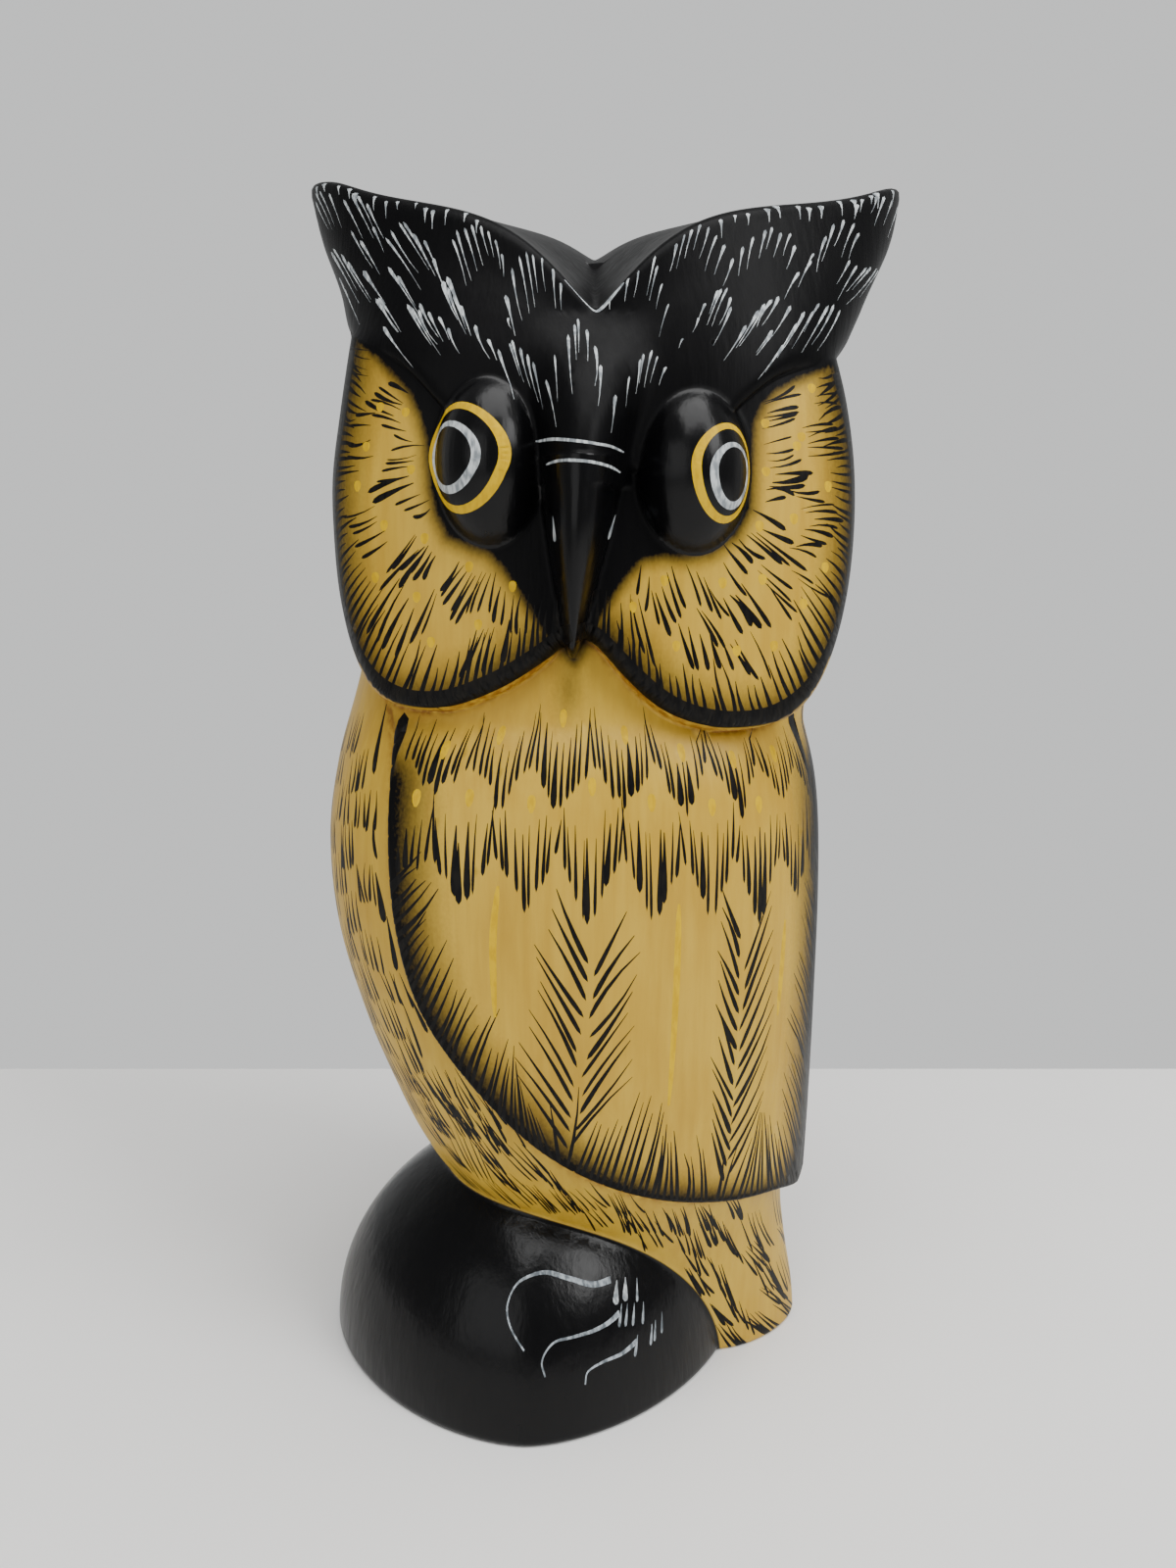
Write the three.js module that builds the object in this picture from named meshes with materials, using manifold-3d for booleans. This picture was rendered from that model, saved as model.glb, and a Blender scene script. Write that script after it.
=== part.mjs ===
// A painted wooden owl, carved from one block. It perches sideways on a rounded mound with one wing
// towards the viewer, and its head is turned to look over that wing.
// Millimetres, +Z up, the viewer at -Y. The origin is the middle of the underside's box.

import * as THREE from 'three';
import { mergeVertices } from 'three/addons/utils/BufferGeometryUtils.js';
import Module from 'manifold-3d';

const wasm = await Module();
wasm.setup();

// Driving dimensions, measured from the upright axis of the block.
// A section is a level cut: its left and right reach, its reach to the viewer (front) and away
// from the viewer (back), and how square it is (2 is an ellipse, less is pointed, more is boxy).
const BODY = [
  { z: -6, left: 12, right: 43.5, front: 13, back: 13, square: 1.6 },
  { z: 6, left: 7, right: 42.6, front: 15, back: 15, square: 1.6 },
  { z: 18, left: -4, right: 40.6, front: 18, back: 18, square: 1.8 },
  { z: 28, left: -17, right: 39.4, front: 21.5, back: 21.5, square: 2 },
  { z: 36, left: -28, right: 39.6, front: 25.5, back: 25.5, square: 2.1 },
  { z: 45, left: -33.6, right: 41, front: 29.7, back: 29.7, square: 2.2 },
  { z: 56, left: -38.4, right: 41.6, front: 32.5, back: 32.5, square: 2.2 },
  { z: 70, left: -43.4, right: 42, front: 34.2, back: 34.2, square: 2.25 },
  { z: 88, left: -47.8, right: 42.2, front: 35.5, back: 35.5, square: 2.3 },
  { z: 105, left: -48.7, right: 42, front: 35.8, back: 35.8, square: 2.3 },
  { z: 119, left: -46.5, right: 41, front: 34.8, back: 34.8, square: 2.3 },
  { z: 131, left: -43, right: 39.3, front: 31.5, back: 31.5, square: 2.3 },
  { z: 145, left: -39, right: 37, front: 28, back: 28, square: 2.3 },
];

// The wings stand proud of the body, most of all at their lower edge.
const WING = [
  { z: 22, left: -24, right: 43.2, front: 25.5, back: 25.5, square: 2.1 },
  { z: 36, left: -36, right: 43.6, front: 29.6, back: 29.6, square: 2.2 },
  { z: 54, left: -43, right: 43.8, front: 34.6, back: 34.6, square: 2.25 },
  { z: 72, left: -48, right: 43.9, front: 37.2, back: 37.2, square: 2.3 },
  { z: 95, left: -51, right: 43.9, front: 38.4, back: 38.4, square: 2.3 },
  { z: 112, left: -50, right: 43, front: 38, back: 38, square: 2.3 },
  { z: 123, left: -46.5, right: 40.8, front: 35.5, back: 35.5, square: 2.3 },
  { z: 134, left: -39, right: 36.5, front: 28, back: 28, square: 2.3 },
];

// The wing's edge seen from the viewer: down the breast side, along the bottom and to the tip.
const WING_EDGE = [
  [-32, 134],
  [-33.6, 121],
  [-34.3, 106],
  [-33.2, 92],
  [-29.5, 79],
  [-22, 67.5],
  [-11, 55.3],
  [0, 47.4],
  [12, 42.3],
  [25, 39.3],
  [35, 37.6],
  [41, 34.6],
  [46, 30],
];
const WING_REAR_EDGE = 7;

// The head below the brow, from the neck up. The facial disc hides its front.
const SKULL = [
  { z: 122, left: -38, right: 37, front: 28, back: 29, square: 2.3 },
  { z: 130, left: -40.6, right: 40.4, front: 30, back: 33.5, square: 2.3 },
  { z: 148, left: -40.8, right: 42, front: 30, back: 35.2, square: 2.3 },
  { z: 168, left: -41, right: 42.8, front: 30, back: 34.5, square: 2.3 },
];

// The crown from the brow line up to its rim. Level 0 is at BROW_BASE, and level 1 is on the rim,
// whose height changes as it runs round the head.
const BROW_BASE = 168;
const CROWN = [
  { level: 0, left: -41.2, right: 43, front: 34.5, back: 34.8, square: 2.8 },
  { level: 0.22, left: -41, right: 43, front: 34.2, back: 34, square: 2.9 },
  { level: 0.42, left: -41.2, right: 43.5, front: 33.6, back: 32, square: 2.8 },
  { level: 0.61, left: -42.8, right: 48, front: 32.6, back: 29, square: 2.2 },
  { level: 0.8, left: -46.4, right: 52.8, front: 31.3, back: 25, square: 1.7 },
  { level: 1, left: -48.7, right: 54.7, front: 30.5, back: 20, square: 1.45 },
];

// The hollow between the ear tufts: its floor climbs from the brow to the back of the head, and
// its sides rise to the tufts within a short run, which is longer at the brow.
const HOLLOW_FRONT = { y: -30, z: 193, run: 11 };
const HOLLOW_BACK = { y: 14, z: 209, run: 6.2 };
const HOLLOW_POWER = 1.3;
const HOLLOW_MIDDLE = 1.2;
const TUFT_SHOULDER = 212.5;
const TUFT_LEAN = 0.12;
const TUFT_MIDDLE = 5;
const TUFT_RISE = 8.5;
const TUFT_REACH = 52;
const TIP_START = 45;
const TIP_DROOP = 2;

// The facial disc: a plate of two lobes with a rounded face.
const DISC = [
  { z: 122, left: -46.2, right: 48, front: 35.5, back: 30, square: 2.5 },
  { z: 140, left: -47.8, right: 49.8, front: 35.2, back: 30, square: 2.5 },
  { z: 156, left: -48.3, right: 50.4, front: 34, back: 30, square: 2.5 },
  { z: 172, left: -48.3, right: 50.4, front: 32.4, back: 30, square: 2.5 },
  { z: 186, left: -47.3, right: 49.4, front: 30.5, back: 30, square: 2.5 },
  { z: 198, left: -45.8, right: 48, front: 28, back: 30, square: 2.5 },
];
const DISC_BACK_EDGE = 8;
const BROW_LAP = 1.5;
const BROW_LAP_REACH = 36;
const DISC_EDGE = [
  [-42, 179],
  [-44.2, 168],
  [-44.3, 158.3],
  [-43.5, 149.8],
  [-41.5, 141.9],
  [-38.8, 136],
  [-35.4, 132.4],
  [-31, 130.5],
  [-26, 130.2],
  [-21.3, 131.1],
  [-14, 134.1],
  [-8, 137.9],
  [-4.6, 140.8],
  [-1.6, 142.3],
  [1.6, 140.8],
  [7, 135],
  [12.1, 130.7],
  [17, 128.3],
  [23, 127.1],
  [30, 127.5],
  [35.8, 130.2],
  [39.8, 134.6],
  [43, 141.4],
  [45.4, 150.5],
  [46.3, 160],
  [45.8, 170],
  [43.8, 180],
];

// The lower edge of the brow seen from the viewer: it stands proud of the disc above this line.
const BROW_EDGE = [
  [-60, 199],
  [-41.5, 193],
  [-37, 190],
  [-32, 186.4],
  [-27.8, 182.4],
  [-21, 175.5],
  [-11, 169.5],
  [0, 166],
  [11, 169.5],
  [21, 175],
  [26, 179.2],
  [31, 183],
  [38.5, 186.3],
  [43.4, 188.5],
  [60, 194],
];

const EYES = [
  { x: -15, y: -27, z: 169.5, wide: 9.4, deep: 12.5, high: 14.6 },
  { x: 16.1, y: -27, z: 168, wide: 9.8, deep: 12.5, high: 14.4 },
];

// The bill and the ridge above it, as level cuts from a root inside the head.
const BEAK_ROOT = -22;
const BEAK = [
  { z: 139.4, middle: -2.5, half: 0.5, ridge: -37.5 },
  { z: 141.5, middle: -2.4, half: 1.5, ridge: -40.2 },
  { z: 148, middle: -2.1, half: 3.4, ridge: -43 },
  { z: 159, middle: -1.5, half: 5.9, ridge: -45 },
  { z: 170.5, middle: -1, half: 7.8, ridge: -44.2 },
];
const RIDGE_ROOT = -18;
const RIDGE = [
  { z: 166, middle: -0.9, half: 8.4, ridge: -44 },
  { z: 172, middle: -0.8, half: 8.8, ridge: -43.6 },
  { z: 180, middle: 0, half: 11.5, ridge: -40 },
  { z: 187, middle: 0.8, half: 15, ridge: -34.4 },
  { z: 192, middle: 1.3, half: 17, ridge: -29 },
];

const MOUND = { x: -11, wide: 41, front: 40.3, back: 39.5, high: 41.3, square: 1.7 };

// How finely the solids are faceted.
const SIDES = 56;
const LEVEL_STEP = 6;
const LINE_STEPS = 2.5;
const CROWN_LEVELS = 8;
const HOLLOW_RINGS = 5;
const MOUND_RINGS = 10;
const EYE_SIDES = 22;
const EYE_RINGS = 14;
const WEDGE_SIDES = 18;
const WEDGE_STEP = 4;

// How far the cutting blocks run: past both sides, above the tufts and below the ground.
const PAST_SIDES = 80;
const ABOVE_ALL = 240;
const BELOW_ALL = -20;

// A smooth value between the entries of a table, by a cubic through each with the mean slope.
function between(table, key, name, at) {
  let i = 1;
  while (i < table.length - 2 && table[i + 1][key] <= at) i += 1;
  if (at < table[1][key]) i = 0;
  const slope = (k) => {
    const a = table[Math.max(k - 1, 0)];
    const b = table[Math.min(k + 1, table.length - 1)];
    return (b[name] - a[name]) / (b[key] - a[key]);
  };
  const a = table[i];
  const b = table[i + 1];
  const span = b[key] - a[key];
  const t = THREE.MathUtils.clamp((at - a[key]) / span, 0, 1);
  const rest = 1 - t;
  const startPull = slope(i) * span * t * rest * rest;
  const endPull = slope(i + 1) * span * t * t * rest;
  return a[name] * rest * rest * (1 + 2 * t) + b[name] * t * t * (3 - 2 * t) + startPull - endPull;
}

function sectionAt(table, key, at) {
  const section = {};
  for (const name of ['left', 'right', 'front', 'back', 'square']) {
    section[name] = between(table, key, name, at);
  }
  return section;
}

// A point on a section's rim. The turn starts at the viewer's side and runs anticlockwise from above.
function rimPoint(section, turn) {
  const middle = (section.left + section.right) / 2;
  const half = (section.right - section.left) / 2;
  const across = Math.sin(turn);
  const away = -Math.cos(turn);
  const power = section.square;
  const reach = (Math.abs(across) ** power + Math.abs(away) ** power) ** (-1 / power);
  const depth = away < 0 ? section.front : section.back;
  return new THREE.Vector2(middle + half * reach * across, depth * reach * away);
}

function turns(count) {
  return Array.from({ length: count }, (_, i) => (i / count) * 2 * Math.PI);
}

// A closed solid from stacked rings of points, with a middle point at each end.
function solidOfRings(rings, bottom, top) {
  const count = rings[0].length;
  const points = [bottom, ...rings.flat(), top];
  const last = points.length - 1;
  const faces = [];
  const at = (ring, side) => 1 + ring * count + (side % count);
  for (let side = 0; side < count; side += 1) {
    faces.push(0, at(0, side + 1), at(0, side));
    for (let ring = 0; ring < rings.length - 1; ring += 1) {
      const low = at(ring, side);
      const lowNext = at(ring, side + 1);
      const high = at(ring + 1, side);
      const highNext = at(ring + 1, side + 1);
      faces.push(low, lowNext, highNext, low, highNext, high);
    }
    faces.push(last, at(rings.length - 1, side), at(rings.length - 1, side + 1));
  }
  return new wasm.Manifold(
    new wasm.Mesh({
      numProp: 3,
      vertProperties: new Float32Array(points.flatMap((p) => [p.x, p.y, p.z])),
      triVerts: new Uint32Array(faces),
    }),
  );
}

function solidOfGeometry(geometry) {
  geometry.deleteAttribute('normal');
  geometry.deleteAttribute('uv');
  const merged = mergeVertices(geometry, 1e-4);
  return new wasm.Manifold(
    new wasm.Mesh({
      numProp: 3,
      vertProperties: new Float32Array(merged.attributes.position.array),
      triVerts: new Uint32Array(merged.index.array),
    }),
  );
}

// A solid whose level cuts follow a table of sections.
function loft(table) {
  const low = table.at(0).z;
  const high = table.at(-1).z;
  const levels = Math.ceil((high - low) / LEVEL_STEP);
  const rings = [];
  for (let i = 0; i <= levels; i += 1) {
    const z = low + ((high - low) * i) / levels;
    const section = sectionAt(table, 'z', z);
    rings.push(turns(SIDES).map((turn) => {
      const rim = rimPoint(section, turn);
      return new THREE.Vector3(rim.x, rim.y, z);
    }));
  }
  const middleOf = (entry) => new THREE.Vector3((entry.left + entry.right) / 2, 0, entry.z);
  return solidOfRings(rings, middleOf(table.at(0)), middleOf(table.at(-1)));
}

// A block with the given outline seen from the viewer, from one depth to another.
function prism(outline, near, far) {
  const shape = new THREE.Shape(outline.map(([x, z]) => new THREE.Vector2(x, z)));
  const geometry = new THREE.ExtrudeGeometry(shape, { depth: far - near, bevelEnabled: false });
  geometry.rotateX(Math.PI / 2);
  geometry.translate(0, far, 0);
  return solidOfGeometry(geometry);
}

function smoothLine(points) {
  const curve = new THREE.SplineCurve(points.map(([x, z]) => new THREE.Vector2(x, z)));
  return curve.getSpacedPoints(points.length * LINE_STEPS).map((p) => [p.x, p.y]);
}

// Height of the top of the head: the hollow's floor, and the tufts on both sides of it.
function topHeight(x, y) {
  const back = THREE.MathUtils.smoothstep(y, HOLLOW_FRONT.y, HOLLOW_BACK.y);
  const floor = THREE.MathUtils.lerp(HOLLOW_FRONT.z, HOLLOW_BACK.z, back);
  const run = THREE.MathUtils.lerp(HOLLOW_FRONT.run, HOLLOW_BACK.run, back);
  const out = Math.abs(x - TUFT_MIDDLE);
  const rise = TUFT_RISE * (out / TUFT_REACH) ** 4;
  const droop = TIP_DROOP * (Math.max(out - TIP_START, 0) / (TUFT_REACH - TIP_START)) ** 2;
  const tuft = TUFT_SHOULDER + TUFT_LEAN * y + rise - droop;
  const climb = 1 - Math.exp(-((Math.abs(x - HOLLOW_MIDDLE) / run) ** HOLLOW_POWER));
  return THREE.MathUtils.lerp(floor, tuft, climb);
}

// The crown: rings that climb from the brow to the rim, then rings that shrink into the hollow.
function crown() {
  const belowBrow = SKULL.filter((section) => section.z < BROW_BASE);
  const rings = belowBrow.map((section) => turns(SIDES).map((turn) => {
    const p = rimPoint(section, turn);
    return new THREE.Vector3(p.x, p.y, section.z);
  }));
  const rim = turns(SIDES).map((turn) => rimPoint(sectionAt(CROWN, 'level', 1), turn));
  for (let i = 0; i <= CROWN_LEVELS; i += 1) {
    const level = i / CROWN_LEVELS;
    const section = sectionAt(CROWN, 'level', level);
    rings.push(turns(SIDES).map((turn, side) => {
      const p = rimPoint(section, turn);
      const top = topHeight(rim[side].x, rim[side].y);
      return new THREE.Vector3(p.x, p.y, THREE.MathUtils.lerp(BROW_BASE, top, level));
    }));
  }
  for (let i = 1; i < HOLLOW_RINGS; i += 1) {
    const shrink = 1 - i / HOLLOW_RINGS;
    rings.push(rim.map((p) => {
      const x = p.x * shrink;
      const y = p.y * shrink;
      return new THREE.Vector3(x, y, topHeight(x, y));
    }));
  }
  const bottom = new THREE.Vector3(0, 0, SKULL[0].z);
  return solidOfRings(rings, bottom, new THREE.Vector3(0, 0, topHeight(0, 0)));
}

// The crown with its front kept only above the brow line, and its back whole.
function brow() {
  const line = smoothLine(BROW_EDGE);
  const aboveLine = [...line, [line.at(-1)[0], ABOVE_ALL], [line.at(0)[0], ABOVE_ALL]];
  const everything = [[-PAST_SIDES, 0], [PAST_SIDES, 0], [PAST_SIDES, ABOVE_ALL], [-PAST_SIDES, ABOVE_ALL]];
  const front = prism(aboveLine, -PAST_SIDES, -DISC_BACK_EDGE);
  const back = prism(everything, -DISC_BACK_EDGE, PAST_SIDES);
  return crown().intersect(front.add(back));
}

function disc() {
  const lobes = smoothLine(DISC_EDGE);
  const underBrow = smoothLine(BROW_EDGE)
    .filter(([x]) => x > -BROW_LAP_REACH && x < BROW_LAP_REACH)
    .map(([x, z]) => [x, z + BROW_LAP])
    .reverse();
  return loft(DISC).intersect(prism([...lobes, ...underBrow], -PAST_SIDES, -DISC_BACK_EDGE));
}

function wing(side) {
  const edge = smoothLine(WING_EDGE);
  const outline = [...edge, [PAST_SIDES, edge.at(-1)[1]], [PAST_SIDES, edge.at(0)[1]]];
  const near = side < 0 ? -PAST_SIDES : WING_REAR_EDGE;
  const far = side < 0 ? -WING_REAR_EDGE : PAST_SIDES;
  return loft(WING).intersect(prism(outline, near, far));
}

function eye({ x, y, z, wide, deep, high }) {
  const ball = new THREE.SphereGeometry(1, EYE_SIDES, EYE_RINGS);
  ball.rotateX(Math.PI / 2);
  ball.scale(wide, deep, high);
  ball.translate(x, y, z);
  return solidOfGeometry(ball);
}

// A wedge that stands out from the face: each level cut is an ellipse from the root to the ridge.
function wedge(table, root) {
  const low = table.at(0).z;
  const high = table.at(-1).z;
  const levels = Math.ceil((high - low) / WEDGE_STEP);
  const middle = (z) => between(table, 'z', 'middle', z);
  const rings = [];
  for (let i = 0; i <= levels; i += 1) {
    const z = low + ((high - low) * i) / levels;
    const half = between(table, 'z', 'half', z);
    const reach = root - between(table, 'z', 'ridge', z);
    rings.push(turns(WEDGE_SIDES).map((turn) => new THREE.Vector3(
      middle(z) + half * Math.sin(turn),
      root - reach * Math.cos(turn),
      z,
    )));
  }
  const bottom = new THREE.Vector3(middle(low), root, low);
  return solidOfRings(rings, bottom, new THREE.Vector3(middle(high), root, high));
}

function mound() {
  const rings = [];
  for (let i = 0; i < MOUND_RINGS; i += 1) {
    const tilt = (i / MOUND_RINGS) * (Math.PI / 2);
    const shrink = Math.cos(tilt);
    const section = {
      left: MOUND.x - MOUND.wide * shrink,
      right: MOUND.x + MOUND.wide * shrink,
      front: MOUND.front * shrink,
      back: MOUND.back * shrink,
      square: MOUND.square,
    };
    rings.push(turns(SIDES).map((turn) => {
      const p = rimPoint(section, turn);
      return new THREE.Vector3(p.x, p.y, MOUND.high * Math.sin(tilt));
    }));
  }
  const bottom = new THREE.Vector3(MOUND.x, 0, 0);
  return solidOfRings(rings, bottom, new THREE.Vector3(MOUND.x, 0, MOUND.high));
}

function owl() {
  const parts = [
    mound(),
    wing(-1),
    wing(1),
    loft(SKULL),
    brow(),
    disc(),
    ...EYES.map(eye),
    wedge(RIDGE, RIDGE_ROOT),
    wedge(BEAK, BEAK_ROOT),
  ];
  const underground = [[-PAST_SIDES, BELOW_ALL], [PAST_SIDES, BELOW_ALL], [PAST_SIDES, 0], [-PAST_SIDES, 0]];
  const ground = prism(underground, -PAST_SIDES, PAST_SIDES);
  const whole = parts.reduce((sum, part) => sum.add(part), loft(BODY)).subtract(ground);
  const mesh = whole.getMesh();
  const geometry = new THREE.BufferGeometry();
  geometry.setAttribute('position', new THREE.BufferAttribute(new Float32Array(mesh.vertProperties), 3));
  geometry.setIndex(new THREE.BufferAttribute(new Uint32Array(mesh.triVerts), 1));
  geometry.computeBoundingBox();
  const middle = geometry.boundingBox.getCenter(new THREE.Vector3());
  geometry.translate(-middle.x, -middle.y, 0);
  geometry.computeVertexNormals();
  return geometry;
}

const ochrePaint = new THREE.MeshStandardMaterial({ color: 0xb8954f, roughness: 0.45, metalness: 0 });
const figure = new THREE.Mesh(owl(), ochrePaint);
figure.name = 'owl';

const root = new THREE.Group();
root.add(figure);

export default root;
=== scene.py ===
"""A painted wooden owl, carved from one block and lacquered.

The figure is one closed surface round the block's upright axis. Two numbers name a point of it:
around, the millimetres of pattern from the viewer's side, and up, the millimetres of pattern from the
ground over the wings, the face and the crown into the hollow between the ear tufts. The brushwork is
laid out on that unrolled pattern and cut into the mesh, so every stroke has its own crisp faces.
"""

import math
from itertools import chain

import bpy
import numpy as np
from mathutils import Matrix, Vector
from mathutils.geometry import delaunay_2d_cdt


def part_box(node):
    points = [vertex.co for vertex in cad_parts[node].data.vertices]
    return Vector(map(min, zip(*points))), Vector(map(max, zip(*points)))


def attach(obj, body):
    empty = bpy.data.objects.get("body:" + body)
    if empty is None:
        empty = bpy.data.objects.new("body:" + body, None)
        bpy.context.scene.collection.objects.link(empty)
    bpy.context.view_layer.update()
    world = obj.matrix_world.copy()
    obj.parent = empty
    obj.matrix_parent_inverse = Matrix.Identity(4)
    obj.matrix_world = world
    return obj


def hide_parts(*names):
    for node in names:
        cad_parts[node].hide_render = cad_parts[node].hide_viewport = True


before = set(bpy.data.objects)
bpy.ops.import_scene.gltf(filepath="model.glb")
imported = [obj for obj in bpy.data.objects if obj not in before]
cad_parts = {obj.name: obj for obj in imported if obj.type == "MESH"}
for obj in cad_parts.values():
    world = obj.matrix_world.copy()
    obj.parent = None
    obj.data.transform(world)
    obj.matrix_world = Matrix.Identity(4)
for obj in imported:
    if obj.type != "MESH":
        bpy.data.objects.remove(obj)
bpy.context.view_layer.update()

bl_info = {
    "name": "Painted Wooden Owl",
    "version": (1, 0, 0),
    "blender": (4, 5, 0),
    "location": "View3D > Sidebar > Wooden Owl",
    "description": "Carves and paints a folk art owl on a rounded mound",
    "category": "Object",
}

OWL_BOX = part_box("owl")
MM = 0.001

# The block's upright axis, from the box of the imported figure: how far the mound reaches to its left
# and to its back from that axis, in millimetres.
MOUND_LEFT_REACH = 52
MOUND_BACK_REACH = 39.5
AXIS = np.array([OWL_BOX[0][0] / MM + MOUND_LEFT_REACH, OWL_BOX[1][1] / MM - MOUND_BACK_REACH, 0])

# Level cuts, in millimetres from the axis: height, then the reach to the left, to the right, to the
# viewer and away from the viewer, then how square the cut is (2 is an ellipse, more is boxier).
BODY = (
    (-6, 12, 43.5, 13, 13, 1.6),
    (6, 7, 42.6, 15, 15, 1.6),
    (18, -4, 40.6, 18, 18, 1.8),
    (28, -17, 39.4, 21.5, 21.5, 2),
    (36, -28, 39.6, 25.5, 25.5, 2.1),
    (45, -33.6, 41, 29.7, 29.7, 2.2),
    (56, -38.4, 41.6, 32.5, 32.5, 2.2),
    (70, -43.4, 42, 34.2, 34.2, 2.25),
    (88, -47.8, 42.2, 35.5, 35.5, 2.3),
    (105, -48.7, 42, 35.8, 35.8, 2.3),
    (119, -46.5, 41, 34.8, 34.8, 2.3),
    (131, -43, 39.3, 31.5, 31.5, 2.3),
    (145, -39, 37, 28, 28, 2.3),
)
WING = (
    (22, -24, 43.2, 25.5, 25.5, 2.1),
    (36, -36, 43.6, 29.6, 29.6, 2.2),
    (54, -43, 43.8, 34.6, 34.6, 2.25),
    (72, -48, 43.9, 37.2, 37.2, 2.3),
    (95, -51, 43.9, 38.4, 38.4, 2.3),
    (112, -50, 43, 38, 38, 2.3),
    (123, -46.5, 40.8, 35.5, 35.5, 2.3),
    (134, -39, 36.5, 28, 28, 2.3),
)
SKULL = (
    (122, -38, 37, 28, 29, 2.3),
    (130, -40.6, 40.4, 30, 33.5, 2.3),
    (148, -40.8, 42, 30, 35.2, 2.3),
    (168, -41.2, 43, 30, 34.8, 2.5),
)
DISC = (
    (122, -46.2, 48, 35.5, 30, 2.5),
    (140, -47.8, 49.8, 35.2, 30, 2.5),
    (156, -48.3, 50.4, 34, 30, 2.5),
    (172, -48.3, 50.4, 32.4, 30, 2.5),
    (186, -47.3, 49.4, 30.5, 30, 2.5),
    (198, -45.8, 48, 28, 30, 2.5),
)
# The crown's cuts go by level: 0 at BROW_BASE and 1 on its rim, whose height changes round the head.
CROWN = (
    (0, -41.2, 43, 34.5, 34.8, 2.8),
    (0.22, -41, 43, 34.2, 34, 2.9),
    (0.42, -41.2, 43.5, 33.6, 32, 2.8),
    (0.61, -42.8, 48, 32.6, 29, 2.2),
    (0.8, -46.4, 52.8, 31.3, 25, 1.7),
    (1, -48.7, 54.7, 30.5, 20, 1.45),
)
MOUND_MIDDLE = -11
MOUND_WIDE = 41
MOUND_FRONT = 40.3
MOUND_HIGH = 41.3
MOUND_SQUARE = 1.7

# The hollow between the ear tufts, and the tufts' height from the middle out to their tips.
HOLLOW_FRONT_Y, HOLLOW_FRONT_Z, HOLLOW_FRONT_RUN = -30, 193, 11
HOLLOW_BACK_Y, HOLLOW_BACK_Z, HOLLOW_BACK_RUN = 14, 209, 6.2
HOLLOW_POWER = 1.3
HOLLOW_MIDDLE = 1.2
TUFT_SHOULDER = 212.5
TUFT_LEAN = 0.12
TUFT_MIDDLE = 5
TUFT_RISE = 8.5
TUFT_REACH = 52
TIP_START = 45
TIP_DROOP = 2

# Carved edges seen from the viewer, as width and height in millimetres, and the steps that a curve
# takes from one point to the next. On the sides the wing and the disc end a little before the axis.
WING_EDGE = (
    (-32, 134), (-33.6, 121), (-34.3, 106), (-33.2, 92), (-29.5, 79), (-22, 67.5), (-11, 55.3),
    (0, 47.4), (12, 42.3), (25, 39.3), (35, 37.6), (41, 34.6),
)
WING_STEPS = 4
WING_REAR_EDGE = 7
DISC_EDGE = (
    (-39.4, 191.5), (-42, 179), (-44.2, 168), (-44.3, 158.3), (-43.5, 149.8), (-41.5, 141.9),
    (-38.8, 136), (-35.4, 132.4), (-31, 130.5), (-26, 130.2), (-21.3, 131.1), (-14, 134.1),
    (-8, 137.9), (-4.6, 140.8), (-1.6, 142.3), (1.6, 140.8), (7, 135), (12.1, 130.7), (17, 128.3),
    (23, 127.1), (30, 127.5), (35.8, 130.2), (39.8, 134.6), (43, 141.4), (45.4, 150.5), (46.3, 160),
    (45.8, 170), (43.8, 180), (41.2, 188),
)
DISC_STEPS = 8
DISC_BACK_EDGE = 8
LOBES_MEET = -1.6
BROW_EDGE = (
    (-41.5, 193), (-37, 190), (-32, 186.4), (-27.8, 182.4), (-21, 175.5), (-11, 169.5), (0, 166),
    (11, 169.5), (21, 175), (26, 179.2), (31, 183), (38.5, 186.3), (43.4, 188.5),
)
BROW_STEPS = 4

# Eyes as ellipsoids (middle, then half sizes), and the bill and its ridge as level cuts that stand
# out from a root inside the head: height, middle, half width and depth of the crest.
EYES = (
    ((-15, -27, 169.5), (9.4, 12.5, 14.6)),
    ((16.1, -27, 168), (9.8, 12.5, 14.4)),
)
BILL_ROOT = -22
BILL = (
    (139.4, -2.5, 0.5, -37.5),
    (141.5, -2.4, 1.5, -40.2),
    (148, -2.1, 3.4, -43),
    (159, -1.5, 5.9, -44.9),
    (170.5, -1, 7.8, -44.2),
)
RIDGE_ROOT = -18
RIDGE = (
    (166, -0.9, 8.4, -44),
    (172, -0.8, 8.8, -43.6),
    (180, 0, 11.5, -40),
    (187, 0.8, 15, -34.4),
    (192, 1.3, 17, -29),
)

# The unrolled pattern, in millimetres: one radian round the block, the seam on the back strip between
# the wings, the heights of the brow and the rim, and the spans that shrink to the two poles.
RADIAN = 44.0
HALF_TURN = math.pi * RADIAN
SEAM_RIGHT = HALF_TURN / 2
SEAM_LEFT = SEAM_RIGHT - 2 * HALF_TURN
BROW_BASE = 168.0
RIM = 218.0
HOLLOW_SPAN = 40.0
UNDER_SPAN = 24.0
POLE_GAP = 2.0
TOP = RIM + HOLLOW_SPAN - POLE_GAP
BOTTOM = POLE_GAP - UNDER_SPAN

# How the carver's edges are softened, in millimetres: convex edges by their width, the places where
# the rim and the foot turn the corner, and the fillets under whatever stands on the body.
CREASE = 1.6
WING_ROUND = 1.3
DISC_ROUND = 2.4
BROW_ROUND = 3.4
RIM_ROUND = 2.4
FOOT_ROUND = 1.0
CORNERS = ((RIM, RIM_ROUND), (0.0, FOOT_ROUND))
STEP_FILLET = 0.5
EYE_FILLET = 1.0
RIDGE_FILLET = 3.5
BILL_FILLET = 1.0

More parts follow.
